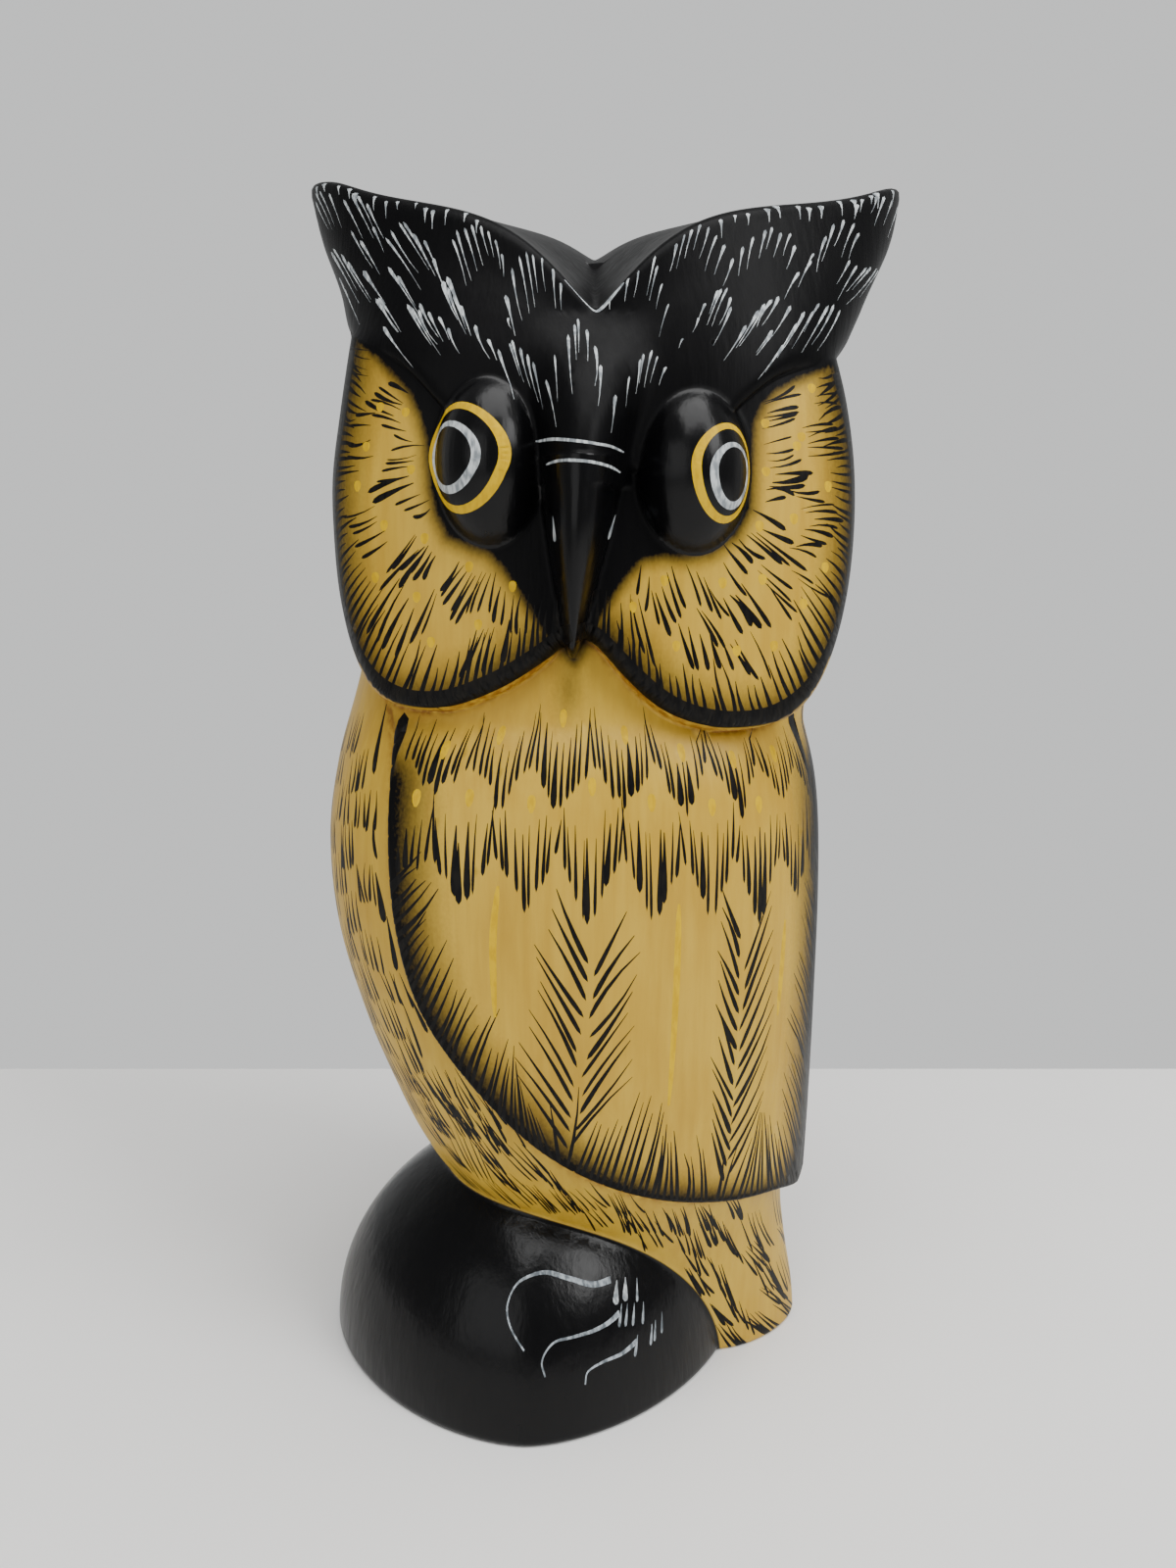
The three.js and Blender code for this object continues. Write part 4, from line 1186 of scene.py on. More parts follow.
def brushwork():
    """Every stroke of paint, as lists of outlines with their kinds."""
    draw = np.random.default_rng(SEED)
    wing_line = ribbon(inner_line(WING_BORDER[WING_LINE_PLACES], WING_LINE_IN), WING_LINE_WIDTH)
    both_sides = [wing_strokes(draw), wing_line, *breast_strokes(draw), *tail_strokes(draw)]
    work = [(BLACK, group) for group in both_sides]
    work += [(BLACK, far_side(group)[:, ::-1]) for group in both_sides]
    for side, eye in LOBES:
        work.append((BLACK, lobe_strokes(side, eye, draw)))
        rim = disc_rim(side)
        inset = BAND_IN + (BAND_SIDE_IN - BAND_IN) * ease(*BAND_TURNS, rim[:, 1])[:, None]
        work.append((BLACK, ribbon(rim - outward(side, eye, rim) * inset, BAND_WIDTH)))
    drops = [dots(WING_DOTS, *WING_DOT), *[line_of_paint(streak, STREAK_WIDTH) for streak in STREAKS]]
    work += [(YELLOW, group) for group in drops + [far_side(group)[:, ::-1] for group in drops]]
    work.append((YELLOW, dots(DISC_DOTS, *DISC_DOT)))
    work.append((WHITE, crown_strokes(draw)))
    work += [(kind, ring(*shape)) for kind, *shape in EYE_RINGS]
    work += [(WHITE, line_of_paint(*line)) for line in NOTCH_LINES]
    work += [(WHITE, line_of_paint(bar, BAR_WIDTH)) for bar in BILL_BARS]
    work += [(WHITE, brush(thin, thick, NOSTRIL_WIDTH)) for thin, thick in NOSTRILS]
    work += [(GREY, line_of_paint(talon, *TALON_WIDTHS)) for talon in TALONS]
    work.append((WHITE, knuckle_strokes(WHITE_KNUCKLES, *WHITE_KNUCKLE)))
    work.append((GREY, knuckle_strokes(GREY_KNUCKLES, *GREY_KNUCKLE)))
    return work


def lattice(left, right, low, high, pitch):
    """Points on level rows, every other row half a step aside, so that they form even triangles."""
    rows = np.arange(low + pitch / 2, high, pitch * math.sqrt(0.75))
    columns = np.arange(left + pitch / 2, right, pitch)
    around, up = np.meshgrid(columns, rows)
    around = around + (np.arange(len(rows)) % 2)[:, None] * pitch / 2
    return np.column_stack([around.ravel(), up.ravel()])


def inner_line(line, depth):
    """A line again at a depth to its left side."""
    return line + depth * leftward(np.gradient(line, axis=0))


def inner_lines(outline, depths, pitch):
    """A closed outline again at each depth inside it, with points at an even pitch."""
    closed = np.vstack([outline, outline[:1]])
    line = at_lengths(closed, np.arange(0, lengths_along(closed)[-1], pitch))
    x, y = closed.T
    spin = np.sign(np.sum(x[:-1] * y[1:] - x[1:] * y[:-1]))
    return np.concatenate([inner_line(line, spin * depth) for depth in depths])


def mound_line(pitch):
    """The pattern places where the mound meets the body and the tail: in each direction, the height at
    which both reach equally far, found by halving."""
    around = np.arange(SEAM_LEFT, SEAM_RIGHT, pitch)
    turn = around / RADIAN
    low, high = np.zeros_like(turn), np.full_like(turn, MOUND_HIGH)
    for _ in range(CREASE_HALVINGS):
        z = (low + high) / 2
        mound_wins = mound_reach(turn, z) > reach(through(BODY, z), turn)
        low, high = np.where(mound_wins, z, low), np.where(mound_wins, high, z)
    line = np.column_stack([around, low])
    return line[low > LEAST_CREASE]


def carved_lines(pitch):
    """Rows of points that hold the carved steps: along both wings, the disc, the brow, the mound's
    foot, the rim and the ground."""
    wing = inner_lines(WING_OUTLINE, STEP_ROWS * WING_ROUND, pitch)
    disc = inner_lines(DISC_OUTLINE, STEP_ROWS * DISC_ROUND, pitch)
    brow = inner_lines(BROW_OUTLINE, STEP_ROWS * BROW_ROUND, pitch)
    crease = mound_line(pitch)
    creases = [crease + [0, lift] for lift in CREASE_ROWS]
    around = np.arange(SEAM_LEFT + pitch, SEAM_RIGHT - pitch / 2, pitch)
    levels = [corner + k * soft for corner, soft in CORNERS for k in CORNER_ROWS]
    rows = [np.column_stack([around, np.full_like(around, level)]) for level in levels]
    return np.concatenate([wing, disc, brow, far_side(wing), *creases, *rows])


def clear_of(points, taken, gap):
    """The points that lie in none of the gap-sized cells that the taken points and their neighbours
    fill."""
    corner = np.array([SEAM_LEFT, BOTTOM]) - SPARE_CELLS * gap
    shape = np.ceil((np.array([SEAM_RIGHT, TOP]) - corner) / gap).astype(int) + 2 * SPARE_CELLS
    busy = np.zeros(shape, bool)
    cell = np.floor((taken - corner) / gap).astype(int)
    busy[cell[:, 0], cell[:, 1]] = True
    for axis in (0, 1):
        busy |= np.roll(busy, 1, axis) | np.roll(busy, -1, axis)
    cell = np.floor((points - corner) / gap).astype(int)
    return points[~busy[cell[:, 0], cell[:, 1]]]


def in_region(points, region, margin=0.0):
    """Which points lie inside a region of the pattern, away from its border."""
    left, right, low, high = region
    around, up = points[..., 0], points[..., 1]
    return ((around > left + margin) & (around < right - margin)
            & (up > low + margin) & (up < high - margin))


def pattern_points(strokes, face_pitch, front_pitch, back_pitch):
    """The pattern's points beside the strokes' own: its border, the carved steps and an even filling
    that is finest on the face. The seams have the same heights on both sides."""
    heights = np.append(np.arange(BOTTOM, TOP, back_pitch), TOP)
    places = np.linspace(SEAM_LEFT, SEAM_RIGHT, int(2 * HALF_TURN / back_pitch))[1:-1]
    seams = [np.column_stack([np.full_like(heights, seam), heights]) for seam in (SEAM_LEFT, SEAM_RIGHT)]
    ends = [np.column_stack([places, np.full_like(places, end)]) for end in (BOTTOM, TOP)]
    steps = carved_lines(face_pitch)
    steps = clear_of(steps[in_region(steps, PATTERN, STEP_MARGIN)], strokes, STEP_GAP)
    front, back = lattice(*FRONT_REGION, front_pitch), lattice(*PATTERN, back_pitch)
    filling = np.concatenate([
        lattice(*FACE_REGION, face_pitch),
        front[~in_region(front, FACE_REGION)],
        back[~in_region(back, FRONT_REGION)],
    ])
    filling = filling[in_region(filling, PATTERN, FILLING_MARGIN)]
    filling = clear_of(filling, np.concatenate([strokes, steps]), FILLING_GAP)
    return np.concatenate([*seams, *ends, steps, filling])


def inlaid_pattern(*pitches):
    """The pattern cut into triangles: its points, its triangles and each triangle's kind of paint.
    Where strokes cross, the later kind covers the earlier one."""
    outlines, kinds = [], []
    for kind, group in brushwork():
        group = group[in_region(group, PATTERN, STROKE_MARGIN).all(axis=1)]
        outlines += list(group)
        kinds += [kind] * len(group)
    sizes = np.array([len(outline) for outline in outlines])
    strokes = np.concatenate(outlines)
    filling = pattern_points(strokes, *pitches)
    starts = np.append(0, np.cumsum(sizes))
    faces = [list(range(first, last)) for first, last in zip(starts[:-1], starts[1:])]
    points = np.concatenate([strokes, filling])
    corners = [Vector(point) for point in points.tolist()]
    whole_area, same_point, with_sources = 0, 1e-4, True
    verts, _, triangles, _, _, covers = delaunay_2d_cdt(
        corners, [], faces, whole_area, same_point, with_sources)
    count = np.fromiter(map(len, covers), int, len(covers))
    covering = np.fromiter(chain.from_iterable(covers), int, count.sum())
    kind_of = np.full(len(triangles), GROUND)
    np.maximum.at(kind_of, np.repeat(np.arange(len(triangles)), count), np.array(kinds)[covering])
    return np.array([tuple(vert) for vert in verts]), np.array(triangles), kind_of


def closed_mesh(*pitches):
    """The finished mesh: points, triangles, corner places on the pattern, kinds of paint and the place
    of each point. The two seams become one line, and a ring of triangles closes each pole."""
    pattern, triangles, kinds = inlaid_pattern(*pitches)
    around, up = pattern.T
    corners = pattern[triangles]
    left = np.flatnonzero(around < SEAM_LEFT + TOUCH)
    right = np.flatnonzero(around > SEAM_RIGHT - TOUCH)
    left, right = left[np.argsort(up[left])], right[np.argsort(up[right])]
    weld = np.arange(len(pattern))
    weld[right] = left
    for level, pole in ((TOP, TOP + POLE_GAP), (BOTTOM, BOTTOM - POLE_GAP)):
        ring_at = np.flatnonzero(np.abs(up - level) < TOUCH)
        ring_at = ring_at[np.argsort(around[ring_at])]
        middle = len(pattern)
        pattern = np.vstack([pattern, [SEAM_LEFT + HALF_TURN, pole]])
        weld = np.append(weld, middle)
        first, second = (ring_at[:-1], ring_at[1:]) if level == TOP else (ring_at[1:], ring_at[:-1])
        cap = np.column_stack([first, second, np.full_like(first, middle)])
        cap_corners = pattern[cap]
        cap_corners[:, 2, 0] = cap_corners[:, :2, 0].mean(axis=1)
        triangles = np.vstack([triangles, cap])
        corners = np.concatenate([corners, cap_corners])
        kinds = np.append(kinds, np.full(len(cap), GROUND))
    triangles = weld[triangles]
    kinds = np.where(corners[:, :, 1].max(axis=1) < -FOOT_ROUND + TOUCH, BARE, kinds)
    used, triangles = np.unique(triangles, return_inverse=True)
    pattern, triangles = pattern[used], triangles.reshape(-1, 3)
    points = surface(pattern[:, 0], pattern[:, 1])
    return points, triangles, corners, kinds, pattern


def standing_proud(points, pattern):
    """How far the mound, an eye or the bill stands out of the finished surface, in millimetres. It is
    0 on the piece itself and negative away from it."""
    turn = pattern[:, 0] / RADIAN
    z = points[:, 2]
    parts = [mound_reach(turn, z), wedge_reach(turn, z, BILL, BILL_ROOT)]
    parts += [eye_reach(turn, z, eye) for eye in EYES]
    return np.maximum.reduce(parts) - np.hypot(points[:, 0], points[:, 1])


def black_and_shade_amounts(points, pattern, disc_shade, wing_shade):
    """How dark each place is: the sprayed black hood, a painted shade under the bill, and a sprayed shade
    that fades in from the rims of the disc and from the painted border of the wings, widest at the wings'
    lower left, where it is painted shade as well. Both shades were sprayed from the viewer's side, so
    they are measured on what it shows."""
    around, up = pattern.T
    x, _, z = points.T
    hood = ease(*HOOD_FADE, depth_inside(HOOD_OUTLINE, around, up))
    on_disc = depth_inside(DISC_OUTLINE, around, up) > 0
    disc = depth_inside(DISC_SEEN, x, z)
    bare_step = BARE_STEP * (1 - ease(*BARE_STEP_NARROWS, z))
    rim = (1 - ease(0, disc_shade, disc)) * on_disc * ((disc > bare_step) | (z > BARE_STEP_TOP))
    # A painted shade under the bill, where the bill's shadow falls on the chest.
    away = (pattern - BILL_SHADE_MIDDLE) / BILL_SHADE_SIZE
    bill_shade = BILL_SHADE_DARKNESS * np.exp(-np.sum(away**2, axis=1))
    wing = depth_inside(WING_SEEN, x, z)
    # Toward the lower left, which turns from the light, the shade is wider: there it is painted shade as
    # well as sprayed black.
    wide = wing_shade * (1 + WIDER * ease(*WIDER_FROM, x + (z - WIDER_HEIGHT) * WIDER_SLOPE))
    shade = (1 - ease(0, wide, wing)) * ease(*WING_EDGE_FADE, wing_depth(around, up))
    shade = shade * ease(*WING_SHADE_ENDS, up)
    return np.maximum.reduce([hood, SHADE_DENSITY * rim, SHADE_DENSITY * shade, bill_shade])


def grime(points, pattern):
    """How much brown lies in the grooves along the wings and under the disc: stain together with painted
    shade where the edges overhang.
    """
    around, up = pattern.T
    on_wing = np.maximum(around, -HALF_TURN - around)
    wing = depth_inside(WING_BORDER, on_wing, up)
    disc = depth_inside(DISC_SEEN, points[:, 0], points[:, 2])
    along_wing = (1 - ease(*WING_GROOVE_OUT, -wing)) * ease(*WING_GROOVE_IN, wing)
    under_disc = (1 - ease(*DISC_GROOVE_OUT, -disc)) * ease(*DISC_GROOVE_IN, disc)
    along_wing = WING_GROOVE_DENSITY * along_wing * (up < WING_EDGE[0][1])
    return np.maximum(along_wing, under_disc * ease(*GROOVE_SIDES, np.abs(around)))


def linear(hex_code):
    """An sRGB hex colour as linear red, green, blue and alpha."""
    parts = np.array([int(hex_code[i:i + 2], 16) for i in (1, 3, 5)]) / 255
    straight = np.where(parts <= 0.04045, parts / 12.92, ((parts + 0.055) / 1.055) ** 2.4)
    return (*straight.tolist(), 1.0)


def add_node(material, kind, inputs=None, **settings):
    """Adds a node with its settings and its inputs, each a constant or the socket that feeds it."""
    node = material.node_tree.nodes.new(kind)
    for name, value in settings.items():
        setattr(node, name, value)
    for name, value in (inputs or {}).items():
        if isinstance(value, bpy.types.NodeSocket):
            material.node_tree.links.new(value, node.inputs[name])
        else:
            node.inputs[name].default_value = value
    return node


def new_material(name, patterns):
    """An empty material, with a noise for each named pattern: its lumps are as wide, deep and high as
    its size says, in millimetres of the object's own coordinates."""
    material = bpy.data.materials.new(name)
    material.use_nodes = True
    material.node_tree.nodes.clear()
    coordinates = add_node(material, "ShaderNodeTexCoord").outputs["Object"]
    noises = {}
    for label, (size, detail) in patterns.items():
        scale = [1 / (MM * side) for side in size]
        stretched = add_node(material, "ShaderNodeMapping", {"Vector": coordinates, "Scale": scale})
        noise = add_node(material, "ShaderNodeTexNoise",
                         {"Vector": stretched.outputs[0], "Scale": 1, "Detail": detail})
        noises[label] = noise.outputs["Fac"]
    return material, noises


# The colour mix node's sockets, whose names its other sockets share.
SHARE, FIRST, SECOND, MIXED = 0, 6, 7, 2

# The relief of brushed paint on hand-carved wood: fine upright brush marks over shallow lumps.
RELIEF = {"brushed": ((0.9, 0.9, 9), 4), "lumps": ((7, 7, 12), 2)}


def finish_surface(material, noises, colour, roughness, relief, shine):
    """The paint's own shader, with a brushed and slightly lumpy relief."""
    height = add_node(material, "ShaderNodeMath", {0: noises["lumps"], 1: 3.0, 2: noises["brushed"]},
                      operation="MULTIPLY_ADD")
    bump = add_node(material, "ShaderNodeBump",
                    {"Strength": 0.6, "Distance": relief * MM, "Height": height.outputs[0]})
    shader = add_node(material, "ShaderNodeBsdfPrincipled",
                      {"Base Color": colour, "Roughness": roughness, "IOR": 1.47,
                       "Specular IOR Level": shine, "Normal": bump.outputs[0]})
    add_node(material, "ShaderNodeOutputMaterial", {"Surface": shader.outputs[0]})
    return material


def ochre_paint(paint):
    """Ochre paint brushed on carved soft wood, shaded with sprayed black and painted shade, browned in its
    grooves by stain and painted shade, and solid black on the mound, the eyes and the bill. It looks
    faintly streaked upright by the brush, thin and patchy in tone, and has a soft satin shine."""
    material, noises = new_material("satin_ochre_paint_on_carved_wood", {
        "streaks": ((1.6, 1.6, 26), 4), "patches": ((16, 16, 30), 3), "flecks": ((0.5, 0.5, 0.7), 2),
        "specks": ((1.3, 1.3, 1.3), 3), **RELIEF})
    half_streaks = add_node(material, "ShaderNodeMath", {0: noises["streaks"], 1: 0.4},
                            operation="MULTIPLY")
    tone = add_node(material, "ShaderNodeMath", {0: noises["patches"], 1: 0.6, 2: half_streaks.outputs[0]},
                    operation="MULTIPLY_ADD")
    share = add_node(material, "ShaderNodeMapRange",
                     {"Value": tone.outputs[0], "From Min": 0.3, "From Max": 0.7},
                     interpolation_type="SMOOTHSTEP")
    ochre = add_node(material, "ShaderNodeMix",
                     {SHARE: share.outputs[0], FIRST: paint["ochre_dark"], SECOND: paint["ochre"]},
                     data_type="RGBA")
    # Brown in the grooves: partly stain, partly painted shade under the overhanging edges.
    groove_share = add_node(material, "ShaderNodeAttribute", attribute_name="grime")
    uneven = add_node(material, "ShaderNodeMapRange",
                      {"Value": noises["specks"], "From Min": 0.3, "From Max": 0.62})
    stain = add_node(material, "ShaderNodeMath", {0: groove_share.outputs["Fac"], 1: uneven.outputs[0]},
                     operation="MULTIPLY")
    with_groove_brown = add_node(material, "ShaderNodeMix",
                       {SHARE: stain.outputs[0], FIRST: ochre.outputs[MIXED], SECOND: paint["stain"]},
                       data_type="RGBA")
    # The black share: sprayed black together with painted shade.
    soot = add_node(material, "ShaderNodeAttribute", attribute_name="soot")
    speckled = add_node(material, "ShaderNodeMath", {0: noises["flecks"], 1: 0.2, 2: soot.outputs["Fac"]},
                        operation="MULTIPLY_ADD")
    darkened = add_node(material, "ShaderNodeMapRange",
                       {"Value": speckled.outputs[0], "From Min": 0.12, "From Max": 1.0})
    proud = add_node(material, "ShaderNodeAttribute", attribute_name="proud")
    solid = add_node(material, "ShaderNodeMapRange",
                     {"Value": proud.outputs["Fac"], "From Min": -0.62, "From Max": -0.3},
                     interpolation_type="SMOOTHSTEP")
    black_share = add_node(material, "ShaderNodeMath", {0: darkened.outputs[0], 1: solid.outputs[0]},
                           operation="MAXIMUM")
    colour = add_node(material, "ShaderNodeMix",
                      {SHARE: black_share.outputs[0], FIRST: with_groove_brown.outputs[MIXED],
                       SECOND: paint["black"]}, data_type="RGBA")
    least = add_node(material, "ShaderNodeMapRange",
                     {"Value": solid.outputs[0], "To Min": 0.34, "To Max": 0.16})
    dull = add_node(material, "ShaderNodeMath", {0: noises["streaks"], 1: 0.16, 2: least.outputs[0]},
                    operation="MULTIPLY_ADD")
    sheen = add_node(material, "ShaderNodeMapRange",
                     {"Value": black_share.outputs[0], "To Min": 0.26, "To Max": 0.08})
    shine = add_node(material, "ShaderNodeMath", {0: solid.outputs[0], 1: 0.12, 2: sheen.outputs[0]},
                     operation="MULTIPLY_ADD")
    return finish_surface(material, noises, colour.outputs[MIXED], roughness=dull.outputs[0],
                          relief=0.1, shine=shine.outputs[0])


def brush_paint(colour, relief, paint):
    """Thick paint laid on with a pointed brush: one strong colour that thins in streaks along the
    brush's way, with a raised, slightly glossier surface."""
    material, noises = new_material(f"{colour}_brush_paint", {"streaks": ((0.8, 0.8, 2.4), 3), **RELIEF})
    share = add_node(material, "ShaderNodeMapRange",
                     {"Value": noises["streaks"], "From Min": 0.36, "From Max": 0.64},
                     interpolation_type="SMOOTHSTEP")
    mixed = add_node(material, "ShaderNodeMix",
                     {SHARE: share.outputs[0], FIRST: paint[colour], SECOND: paint[f"{colour}_worn"]},
                     data_type="RGBA")
    return finish_surface(material, noises, mixed.outputs[MIXED], roughness=0.4, relief=relief, shine=0.12)


def bare_wood(paint):
    """The sawn and sanded underside: pale soft wood with fine lines of grain 1.5 mm apart."""
    material, noises = new_material("sanded_bare_softwood", {"grain": ((30, 1.5, 30), 4), **RELIEF})
    share = add_node(material, "ShaderNodeMapRange",
                     {"Value": noises["grain"], "From Min": 0.35, "From Max": 0.65})
    mixed = add_node(material, "ShaderNodeMix",
                     {SHARE: share.outputs[0], FIRST: paint["wood"], SECOND: paint["wood_dark"]},
                     data_type="RGBA")
    return finish_surface(material, noises, mixed.outputs[MIXED], roughness=0.75, relief=0.05, shine=0.2)


def table_top(settings):
    """Smooth table top in matt white paint, with faint soft patches as wide as a hand."""
    material, noises = new_material("matt_table_top", {"patches": ((60, 60, 60), 3)})
    mixed = add_node(material, "ShaderNodeMix",
                     {SHARE: noises["patches"], FIRST: tuple(settings.floor),
                      SECOND: tuple(settings.floor_dull)}, data_type="RGBA")
    shader = add_node(material, "ShaderNodeBsdfPrincipled",
                      {"Base Color": mixed.outputs[MIXED], "Roughness": 0.6})
    add_node(material, "ShaderNodeOutputMaterial", {"Surface": shader.outputs[0]})
    return material


def pale_room(settings):
    """The light from all round: pale low down behind the table, and dimmer elsewhere."""
    world = bpy.data.worlds.new("pale_room")
    world.use_nodes = True
    world.node_tree.nodes.clear()
    direction = add_node(world, "ShaderNodeTexCoord").outputs["Generated"]
    away = add_node(world, "ShaderNodeSeparateXYZ", {"Vector": direction})
    behind = add_node(world, "ShaderNodeMapRange",
                      {"Value": away.outputs["Y"], "From Min": 0.1, "From Max": 0.6})
    low = add_node(world, "ShaderNodeMapRange",
                   {"Value": away.outputs["Z"], "From Min": 0.75, "From Max": 0.45})
    wall = add_node(world, "ShaderNodeMath", {0: behind.outputs[0], 1: low.outputs[0]},
                    operation="MULTIPLY")
    pale = tuple(settings.room)
    dim = tuple(ROOM_DIM * part for part in pale[:3]) + (1.0,)
    light = add_node(world, "ShaderNodeMix", {SHARE: wall.outputs[0], FIRST: dim, SECOND: pale},
                     data_type="RGBA")
    air = add_node(world, "ShaderNodeBackground", {"Color": light.outputs[MIXED]})
    add_node(world, "ShaderNodeOutputWorld", {"Surface": air.outputs[0]})
    return world


# The stage, in metres: the table's half width, its near edge and how far behind the figure's axis it
# ends, the lights as name, place, size and watts, the place that they point at, how dim the room is
# overhead and beside the viewer, and the camera's sensor in millimetres.
TABLE_HALF, TABLE_NEAR, TABLE_BEHIND = 1.6, -1.2, 0.115
LIGHTS = (
    ("ceiling_light", (0.1, -0.25, 1.0), (0.9, 0.7), 11.4),
    ("key_light", (0.75, -0.55, 0.75), (0.5, 0.5), 7.2),
    ("fill_light", (-0.6, -0.9, 0.45), (0.9, 0.7), 2.9),
)
LIGHTS_AIM = (0, 0, 0.11)
ROOM_DIM = 0.4
SENSOR_WIDTH = 36


def colour_setting(name, hex_code, description):
    """A colour that the user can change, with its default given as an sRGB hex colour."""
    return bpy.props.FloatVectorProperty(
        name=name, description=description, subtype="COLOR", size=4, min=0, max=1,
        default=linear(hex_code))


def length_setting(name, millimetres, description):
    """A length that the user can change, with its default given in millimetres."""
    return bpy.props.FloatProperty(
        name=name, description=description, unit="LENGTH", precision=5, min=0.0001,
        default=millimetres * MM)


class OwlPaint(bpy.types.PropertyGroup):
    """The colours that the owl is painted with."""

    ochre: colour_setting("Ochre", "#C29F36", "Ground colour of the feathers")
    ochre_dark: colour_setting("Deep ochre", "#AE8927", "Where the ground colour lies thicker")
    black: colour_setting("Black", "#060607", "Hood, mound, eyes, bill and brush strokes")
    black_worn: colour_setting("Thin black", "#14120F", "Where a black stroke runs dry")
    yellow: colour_setting("Yellow", "#CCA60A", "Dots, streaks and outer eye rings")
    yellow_worn: colour_setting("Thin yellow", "#BE980A", "Where yellow paint runs dry")
    white: colour_setting("White", "#C3C8C9", "Crown strokes, bill bars and inner eye rings")
    white_worn: colour_setting("Thin white", "#7A8084", "Where a white stroke runs dry")
    grey: colour_setting("Grey", "#A3ABB1", "Talons and most of their knuckles")
    grey_worn: colour_setting("Thin grey", "#5C6368", "Where a grey stroke runs dry")
    # This brown is stain together with painted shade in the grooves.
    stain: colour_setting("Stain", "#7A4A12", "Brown that gathers in the grooves")
    wood: colour_setting("Bare wood", "#C9A777", "Underside")
    wood_dark: colour_setting("Wood grain", "#A98252", "Grain lines of the underside")


class OwlSizes(bpy.types.PropertyGroup):
    """How finely the owl is cut, and how far the sprayed shades reach."""

    face_pitch: length_setting("Face spacing", 0.7, "Spacing of the mesh's points on the face")
    front_pitch: length_setting("Front spacing", 1.15, "Spacing of the points on the viewer's side")
    back_pitch: length_setting("Back spacing", 1.8, "Spacing of the points on the far side")
    disc_shade: length_setting("Disc shade", 11, "How far the black shade reaches in from the disc's rim")
    wing_shade: length_setting("Wing shade", 9, "How far the black shade reaches in from a wing's edge")


class OwlStage(bpy.types.PropertyGroup):
    """The floor, the room's light and the camera."""

    floor: colour_setting("Floor", "#F3F2F0", "Table top")
    floor_dull: colour_setting("Dull floor", "#EDECEA", "Patches of the table top")
    room: colour_setting("Room", "#E4E5E5", "What lies behind the table")
    camera_distance: length_setting("Camera distance", 222, "From the figure's axis to the camera")
    camera_height: length_setting("Camera height", 157, "From the floor to the camera")
    camera_down: bpy.props.FloatProperty(
        name="Camera tilt", description="How far the camera looks down",
        default=math.radians(11.4), subtype="ANGLE")
    lens: bpy.props.FloatProperty(
        name="Lens", description="Focal length on a sensor 36 mm wide",
        default=27.07, unit="CAMERA")


class OWL_OT_carve(bpy.types.Operator):
    """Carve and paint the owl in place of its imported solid"""

    bl_idname = "owl.carve"
    bl_label = "Carve and Paint Owl"

    def execute(self, context):
        settings = context.scene.owl_paint
        paint = {name: tuple(getattr(settings, name)) for name in settings.__annotations__}
        sizes = context.scene.owl_sizes
        pitches = (sizes.face_pitch / MM, sizes.front_pitch / MM, sizes.back_pitch / MM)
        points, triangles, corners, kinds, pattern = closed_mesh(*pitches)
        mesh = bpy.data.meshes.new("painted_owl")
        mesh.from_pydata(((points + AXIS) * MM).tolist(), [], triangles.tolist())
        mesh.polygons.foreach_set("use_smooth", np.ones(len(triangles), bool))
        mesh.polygons.foreach_set("material_index", kinds.astype(np.int32))
        unrolled = mesh.uv_layers.new(name="OFBake")
        span = np.array([2 * HALF_TURN, TOP - BOTTOM + 2 * POLE_GAP])
        share = (corners.reshape(-1, 2) - [SEAM_LEFT, BOTTOM - POLE_GAP]) / span
        unrolled.uv.foreach_set("vector", share.astype(np.float32).ravel())
        shades = (sizes.disc_shade / MM, sizes.wing_shade / MM)
        # Layers: sprayed black with painted shade, brown stain with painted shade in the grooves, and how
        # far the solid black parts stand out.
        layers = {"soot": black_and_shade_amounts(points, pattern, *shades), "grime": grime(points, pattern),
                  "proud": standing_proud(points, pattern)}
        for name, values in layers.items():
            layer = mesh.attributes.new(name, "FLOAT", "POINT")
            layer.data.foreach_set("value", values.astype(np.float32))
        brushed = [brush_paint(*colour_and_relief, paint) for colour_and_relief in BRUSH_PAINTS]
        for material in (ochre_paint(paint), *brushed, bare_wood(paint)):
            mesh.materials.append(material)
        mesh.update()
        owl = bpy.data.objects.new("painted_owl", mesh)
        context.scene.collection.objects.link(owl)
        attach(owl, "root")
        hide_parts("owl")
        return {"FINISHED"}


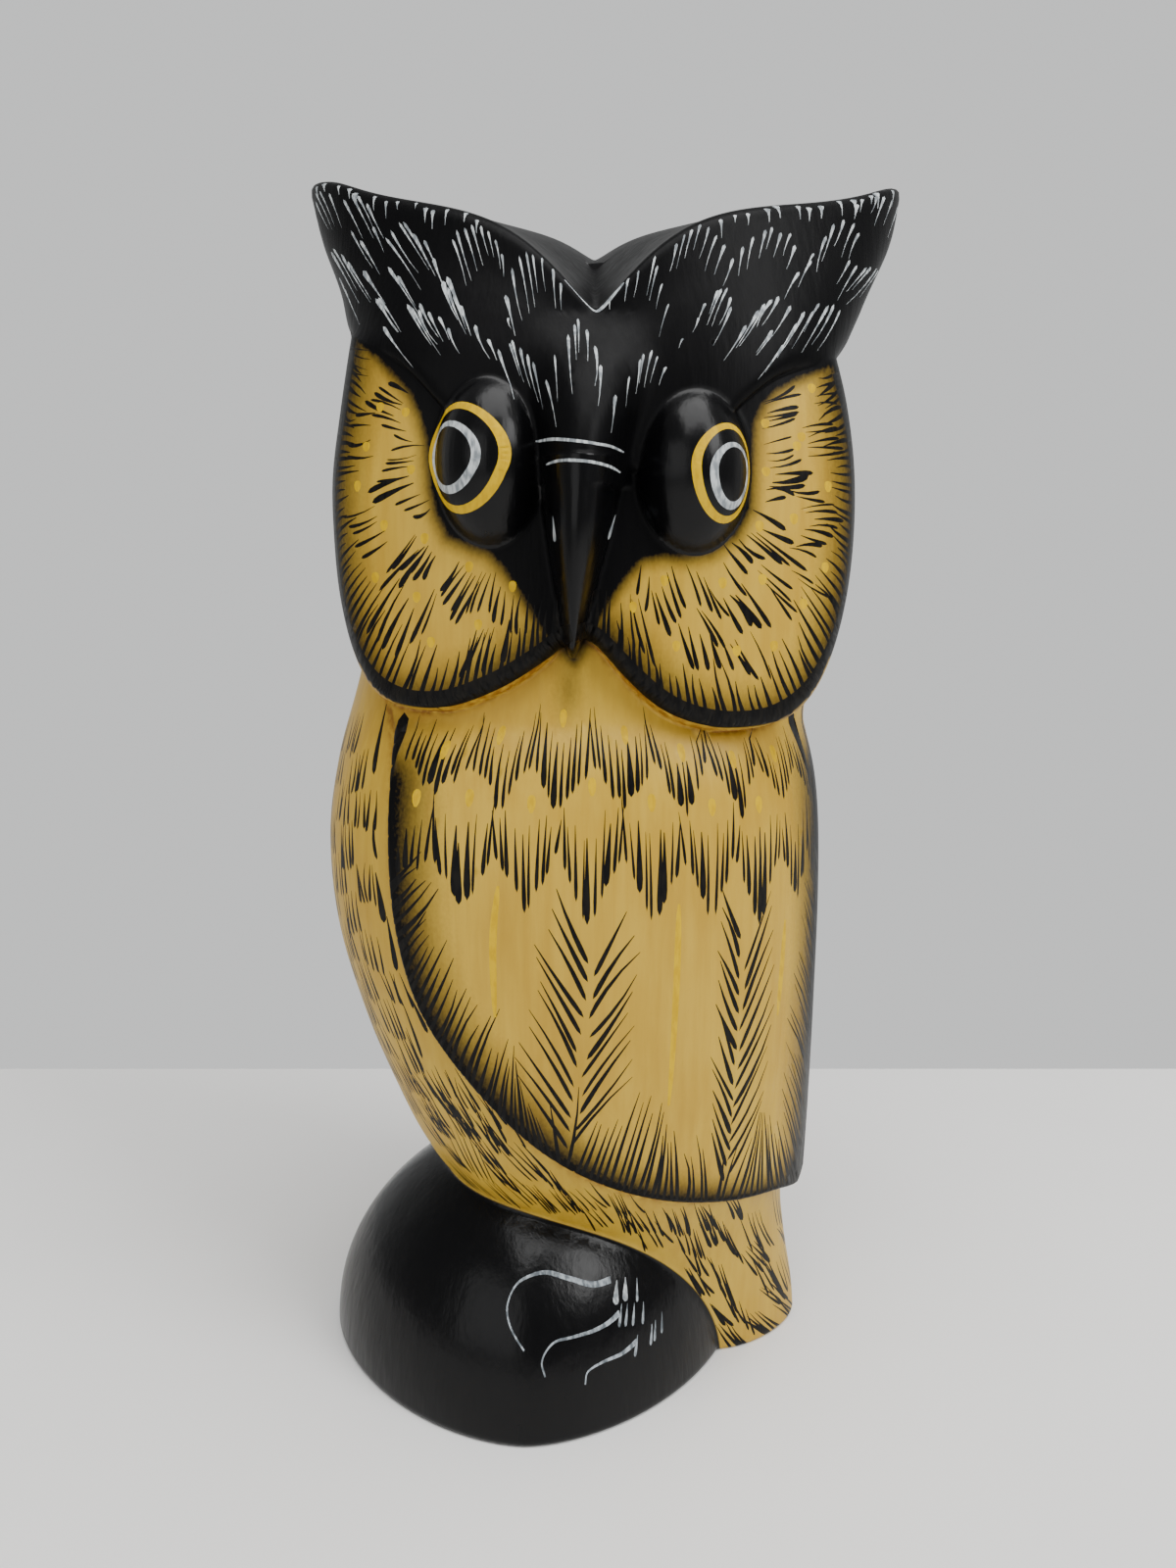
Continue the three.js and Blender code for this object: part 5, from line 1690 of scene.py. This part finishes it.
class OWL_OT_stage(bpy.types.Operator):
    """Set up the floor, the soft lights, the pale room and the camera"""

    bl_idname = "owl.stage"
    bl_label = "Set Up Stage"

    def execute(self, context):
        settings = context.scene.owl_stage
        back = AXIS[1] * MM + TABLE_BEHIND
        mesh = bpy.data.meshes.new("floor")
        mesh.from_pydata([(-TABLE_HALF, TABLE_NEAR, 0), (TABLE_HALF, TABLE_NEAR, 0),
                          (TABLE_HALF, back, 0), (-TABLE_HALF, back, 0)], [], [(0, 1, 2, 3)])
        mesh.materials.append(table_top(settings))
        floor = bpy.data.objects.new("floor", mesh)
        context.scene.collection.objects.link(floor)
        for name, place, size, power in LIGHTS:
            lamp = bpy.data.lights.new(name, "AREA")
            lamp.shape = "RECTANGLE"
            lamp.size, lamp.size_y = size
            lamp.energy = power
            box = bpy.data.objects.new(name, lamp)
            box.location = place
            aim = Vector(LIGHTS_AIM) - Vector(place)
            box.rotation_euler = aim.to_track_quat("-Z", "Y").to_euler()
            context.scene.collection.objects.link(box)
        context.scene.world = pale_room(settings)
        camera = bpy.data.cameras.new("camera")
        camera.lens = settings.lens
        camera.sensor_width = SENSOR_WIDTH
        viewer = bpy.data.objects.new("camera", camera)
        viewer.location = (AXIS[0] * MM, AXIS[1] * MM - settings.camera_distance, settings.camera_height)
        viewer.rotation_euler = (math.radians(90) - settings.camera_down, 0, 0)
        context.scene.collection.objects.link(viewer)
        context.scene.camera = viewer
        return {"FINISHED"}


class OWL_PT_panel(bpy.types.Panel):
    """Lists the owl's tools and settings"""

    bl_label = "Wooden Owl"
    bl_space_type = "VIEW_3D"
    bl_region_type = "UI"
    bl_category = "Wooden Owl"

    def draw(self, context):
        scene = context.scene
        for tool, groups in (
            (OWL_OT_carve, (scene.owl_paint, scene.owl_sizes)),
            (OWL_OT_stage, (scene.owl_stage,)),
        ):
            box = self.layout.box()
            box.operator(tool.bl_idname)
            for settings in groups:
                for name in settings.__annotations__:
                    box.prop(settings, name)


CLASSES = (OwlPaint, OwlSizes, OwlStage, OWL_OT_carve, OWL_OT_stage, OWL_PT_panel)


def register():
    for kind in CLASSES:
        bpy.utils.register_class(kind)
    bpy.types.Scene.owl_paint = bpy.props.PointerProperty(type=OwlPaint)
    bpy.types.Scene.owl_sizes = bpy.props.PointerProperty(type=OwlSizes)
    bpy.types.Scene.owl_stage = bpy.props.PointerProperty(type=OwlStage)


def unregister():
    del bpy.types.Scene.owl_stage
    del bpy.types.Scene.owl_sizes
    del bpy.types.Scene.owl_paint
    for kind in reversed(CLASSES):
        bpy.utils.unregister_class(kind)


def main():
    register()
    bpy.ops.owl.carve()
    bpy.ops.owl.stage()


if __name__ == "__main__":
    main()
